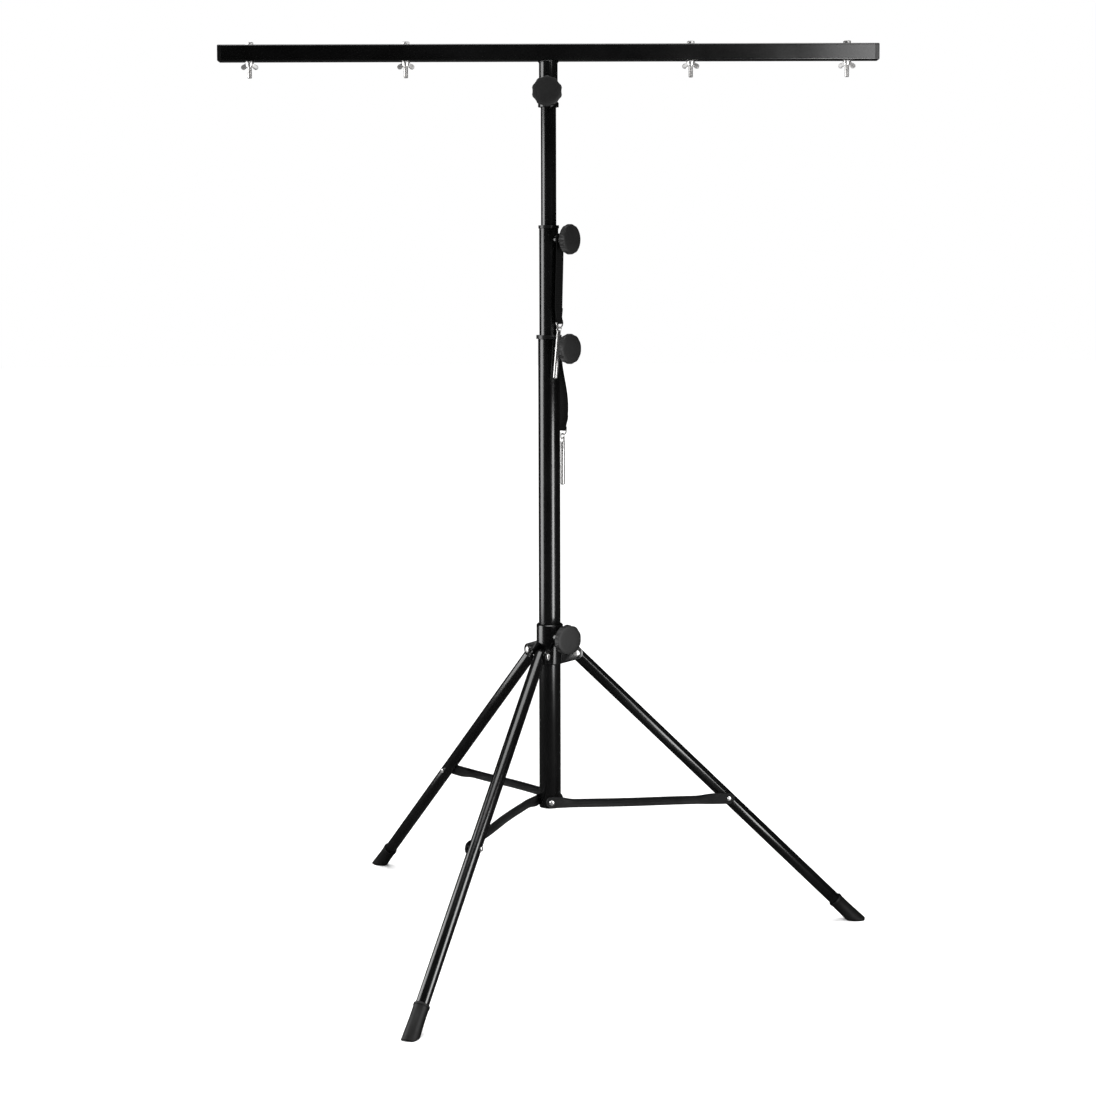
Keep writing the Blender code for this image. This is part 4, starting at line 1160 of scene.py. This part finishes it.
# %% [markdown]
# ## The hidden guides
# Two plastic rings run inside the wide tubes. Nobody sees them until the mast is taken apart, so the
# frame's own pieces stay and only get their finish.

# %% kept frame pieces
for node in ("stage_2_guide", "stage_3_guide"):
    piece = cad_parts[node]
    piece.data.materials.clear()
    piece.data.materials.append(plastic)
shown = [node for node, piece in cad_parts.items() if not piece.hide_render]
print("frame pieces still shown:", shown)

# %% [markdown]
# ## Studio
# The picture has a plain white ground and a very dark, glossy object, so the light must come from a few
# clear shapes: a tall soft box at the left gives the long pale band down every tube, a smaller one at the
# front right gives the second band on the lower tubes, and a broad soft sun from above whitens the floor
# and leaves a soft shadow. Reflections of the room are kept dark, or the black would turn to grey.
#
# A studio also holds light back with flags and adds a lamp for one detail. Light linking does that here:
# the bar stays out of the left box, the struts out of the right box and the sun, one soft box is only for
# the bar's right end, which fades to grey, and two are only for the bright bolts and wing nuts.

# %% floor, room and lights
CAMERA_TURN = -7.5
FLOOR_SIDE = 60
UNDER_FLOOR = 0.0006
view_turn = math.radians(CAMERA_TURN)
to_camera = Vector((math.sin(view_turn), -math.cos(view_turn), 0))
to_right = Vector((math.cos(view_turn), math.sin(view_turn), 0))

bpy.ops.mesh.primitive_plane_add(size=FLOOR_SIDE, location=(0, 0, -UNDER_FLOOR))
floor = baked(bpy.context.object, "floor")
paint, paint_shader = finish("floor", {"Base Color": grey(0.9), "Roughness": 0.9, "Specular IOR Level": 0.0})
dark = paint.node("ShaderNodeBsdfDiffuse", None, {"Color": grey(0.03)})
glossy_ray = paint.node("ShaderNodeLightPath", output="Is Glossy Ray")
pale = Signal(paint, paint_shader.outputs[0])
blend = paint.node("ShaderNodeMixShader", None, {0: glossy_ray, 1: pale, 2: dark})
paint.feed(paint.tree.nodes["Material Output"].inputs["Surface"], blend)
floor.data.materials.append(paint.owner)

world = bpy.data.worlds.new("white room")
bpy.context.scene.world = world
room = Recipe(world)


def glow(strength):
    return room.node("ShaderNodeBackground", None, {"Color": grey(1.0), "Strength": strength})


fill = glow(0.35)
white = glow(1.0)
black = glow(0.02)
seen = room.node("ShaderNodeLightPath", output="Is Camera Ray")
mirrored = room.node("ShaderNodeLightPath", output="Is Glossy Ray")
light = room.node("ShaderNodeMixShader", None, {0: mirrored, 1: fill, 2: black})
light = room.node("ShaderNodeMixShader", None, {0: seen, 1: light, 2: white})
room.feed(room.tree.nodes["World Output"].inputs["Surface"], light)


def soft_box(name, side_angle, distance, low, high, wide, power):
    """An upright lit panel at this angle to the right of the camera, facing the mast."""
    angle = math.radians(side_angle)
    way = to_camera * math.cos(angle) + to_right * math.sin(angle)
    middle = way * distance + Vector((0, 0, (low + high) / 2))
    bpy.ops.object.light_add(type="AREA", location=middle)
    box = bpy.context.object
    box.name = name
    box.rotation_euler = (-way).to_track_quat("-Z", "Y").to_euler()
    box.data.shape = "RECTANGLE"
    box.data.size = wide
    box.data.size_y = high - low
    box.data.energy = power
    box.visible_camera = False
    return box


def link_light(lamp, state, *starts):
    """Makes a lamp light only the pieces whose names start this way, or all but these."""
    group = bpy.data.collections.new(lamp.name + " group")
    lamp.light_linking.receiver_collection = group
    for thing in made:
        if thing.name.startswith(starts):
            group.objects.link(thing)
    for member in group.collection_objects:
        member.light_linking.link_state = state


struts = ("brace-1", "brace-2", "brace-3")
bar_pieces = ("t-bar", "right-bar-cap", "left-bar-cap")
plated = ("lamp-bolt", "wing-nut")
left_box = soft_box("left soft box", -85, 2.3, 0.10, 2.3, 1.5, 72)
link_light(left_box, "EXCLUDE", *bar_pieces, "brace-2")
right_box = soft_box("right soft box", 40, 1.3, 0.05, 1.20, 0.46, 21)
link_light(right_box, "EXCLUDE", *struts)
end_box = soft_box("bar end soft box", 32.5, 2.37, 1.4, 2.4, 1.0, 21)
link_light(end_box, "INCLUDE", "t-bar", "right-bar-cap")
front_box = soft_box("bolt front soft box", 0, 3.0, 1.2, 2.4, 1.4, 6.5)
link_light(front_box, "INCLUDE", *plated)
side_box = soft_box("bolt side soft box", 58, 2.2, 1.3, 2.5, 1.2, 7)
link_light(side_box, "INCLUDE", *plated)
bpy.ops.object.light_add(type="SUN", location=(0, 0, 4))
sun = bpy.context.object
sun.name = "broad top light"
sun.data.energy = 3.2
sun.data.angle = math.radians(50)
link_light(sun, "EXCLUDE", *struts)

# %% [markdown]
# ## Camera
# The picture was taken with a long lens from a little below the bar's height, nearly level, and cropped
# low. Fitting the known sizes to measured points gave the distance, height, tilt and shift below.

# %% camera
CAMERA_FAR = 3.7438
CAMERA_HIGH = 1.1889
CAMERA_DOWN = 3.44
CAMERA_ROLL = 0.15
bpy.ops.object.camera_add(location=to_camera * CAMERA_FAR + Vector((0, 0, CAMERA_HIGH)))
camera = bpy.context.object
camera.rotation_euler = (math.radians(90 - CAMERA_DOWN), math.radians(CAMERA_ROLL), view_turn)
camera.data.sensor_width = 36
camera.data.lens = 67.07
camera.data.shift_x = -0.0008
camera.data.shift_y = -0.12
camera.data.clip_end = 200
bpy.context.scene.camera = camera
bpy.context.scene.view_settings.view_transform = "Standard"

print("faces in all:", sum(len(thing.data.polygons) for thing in made))
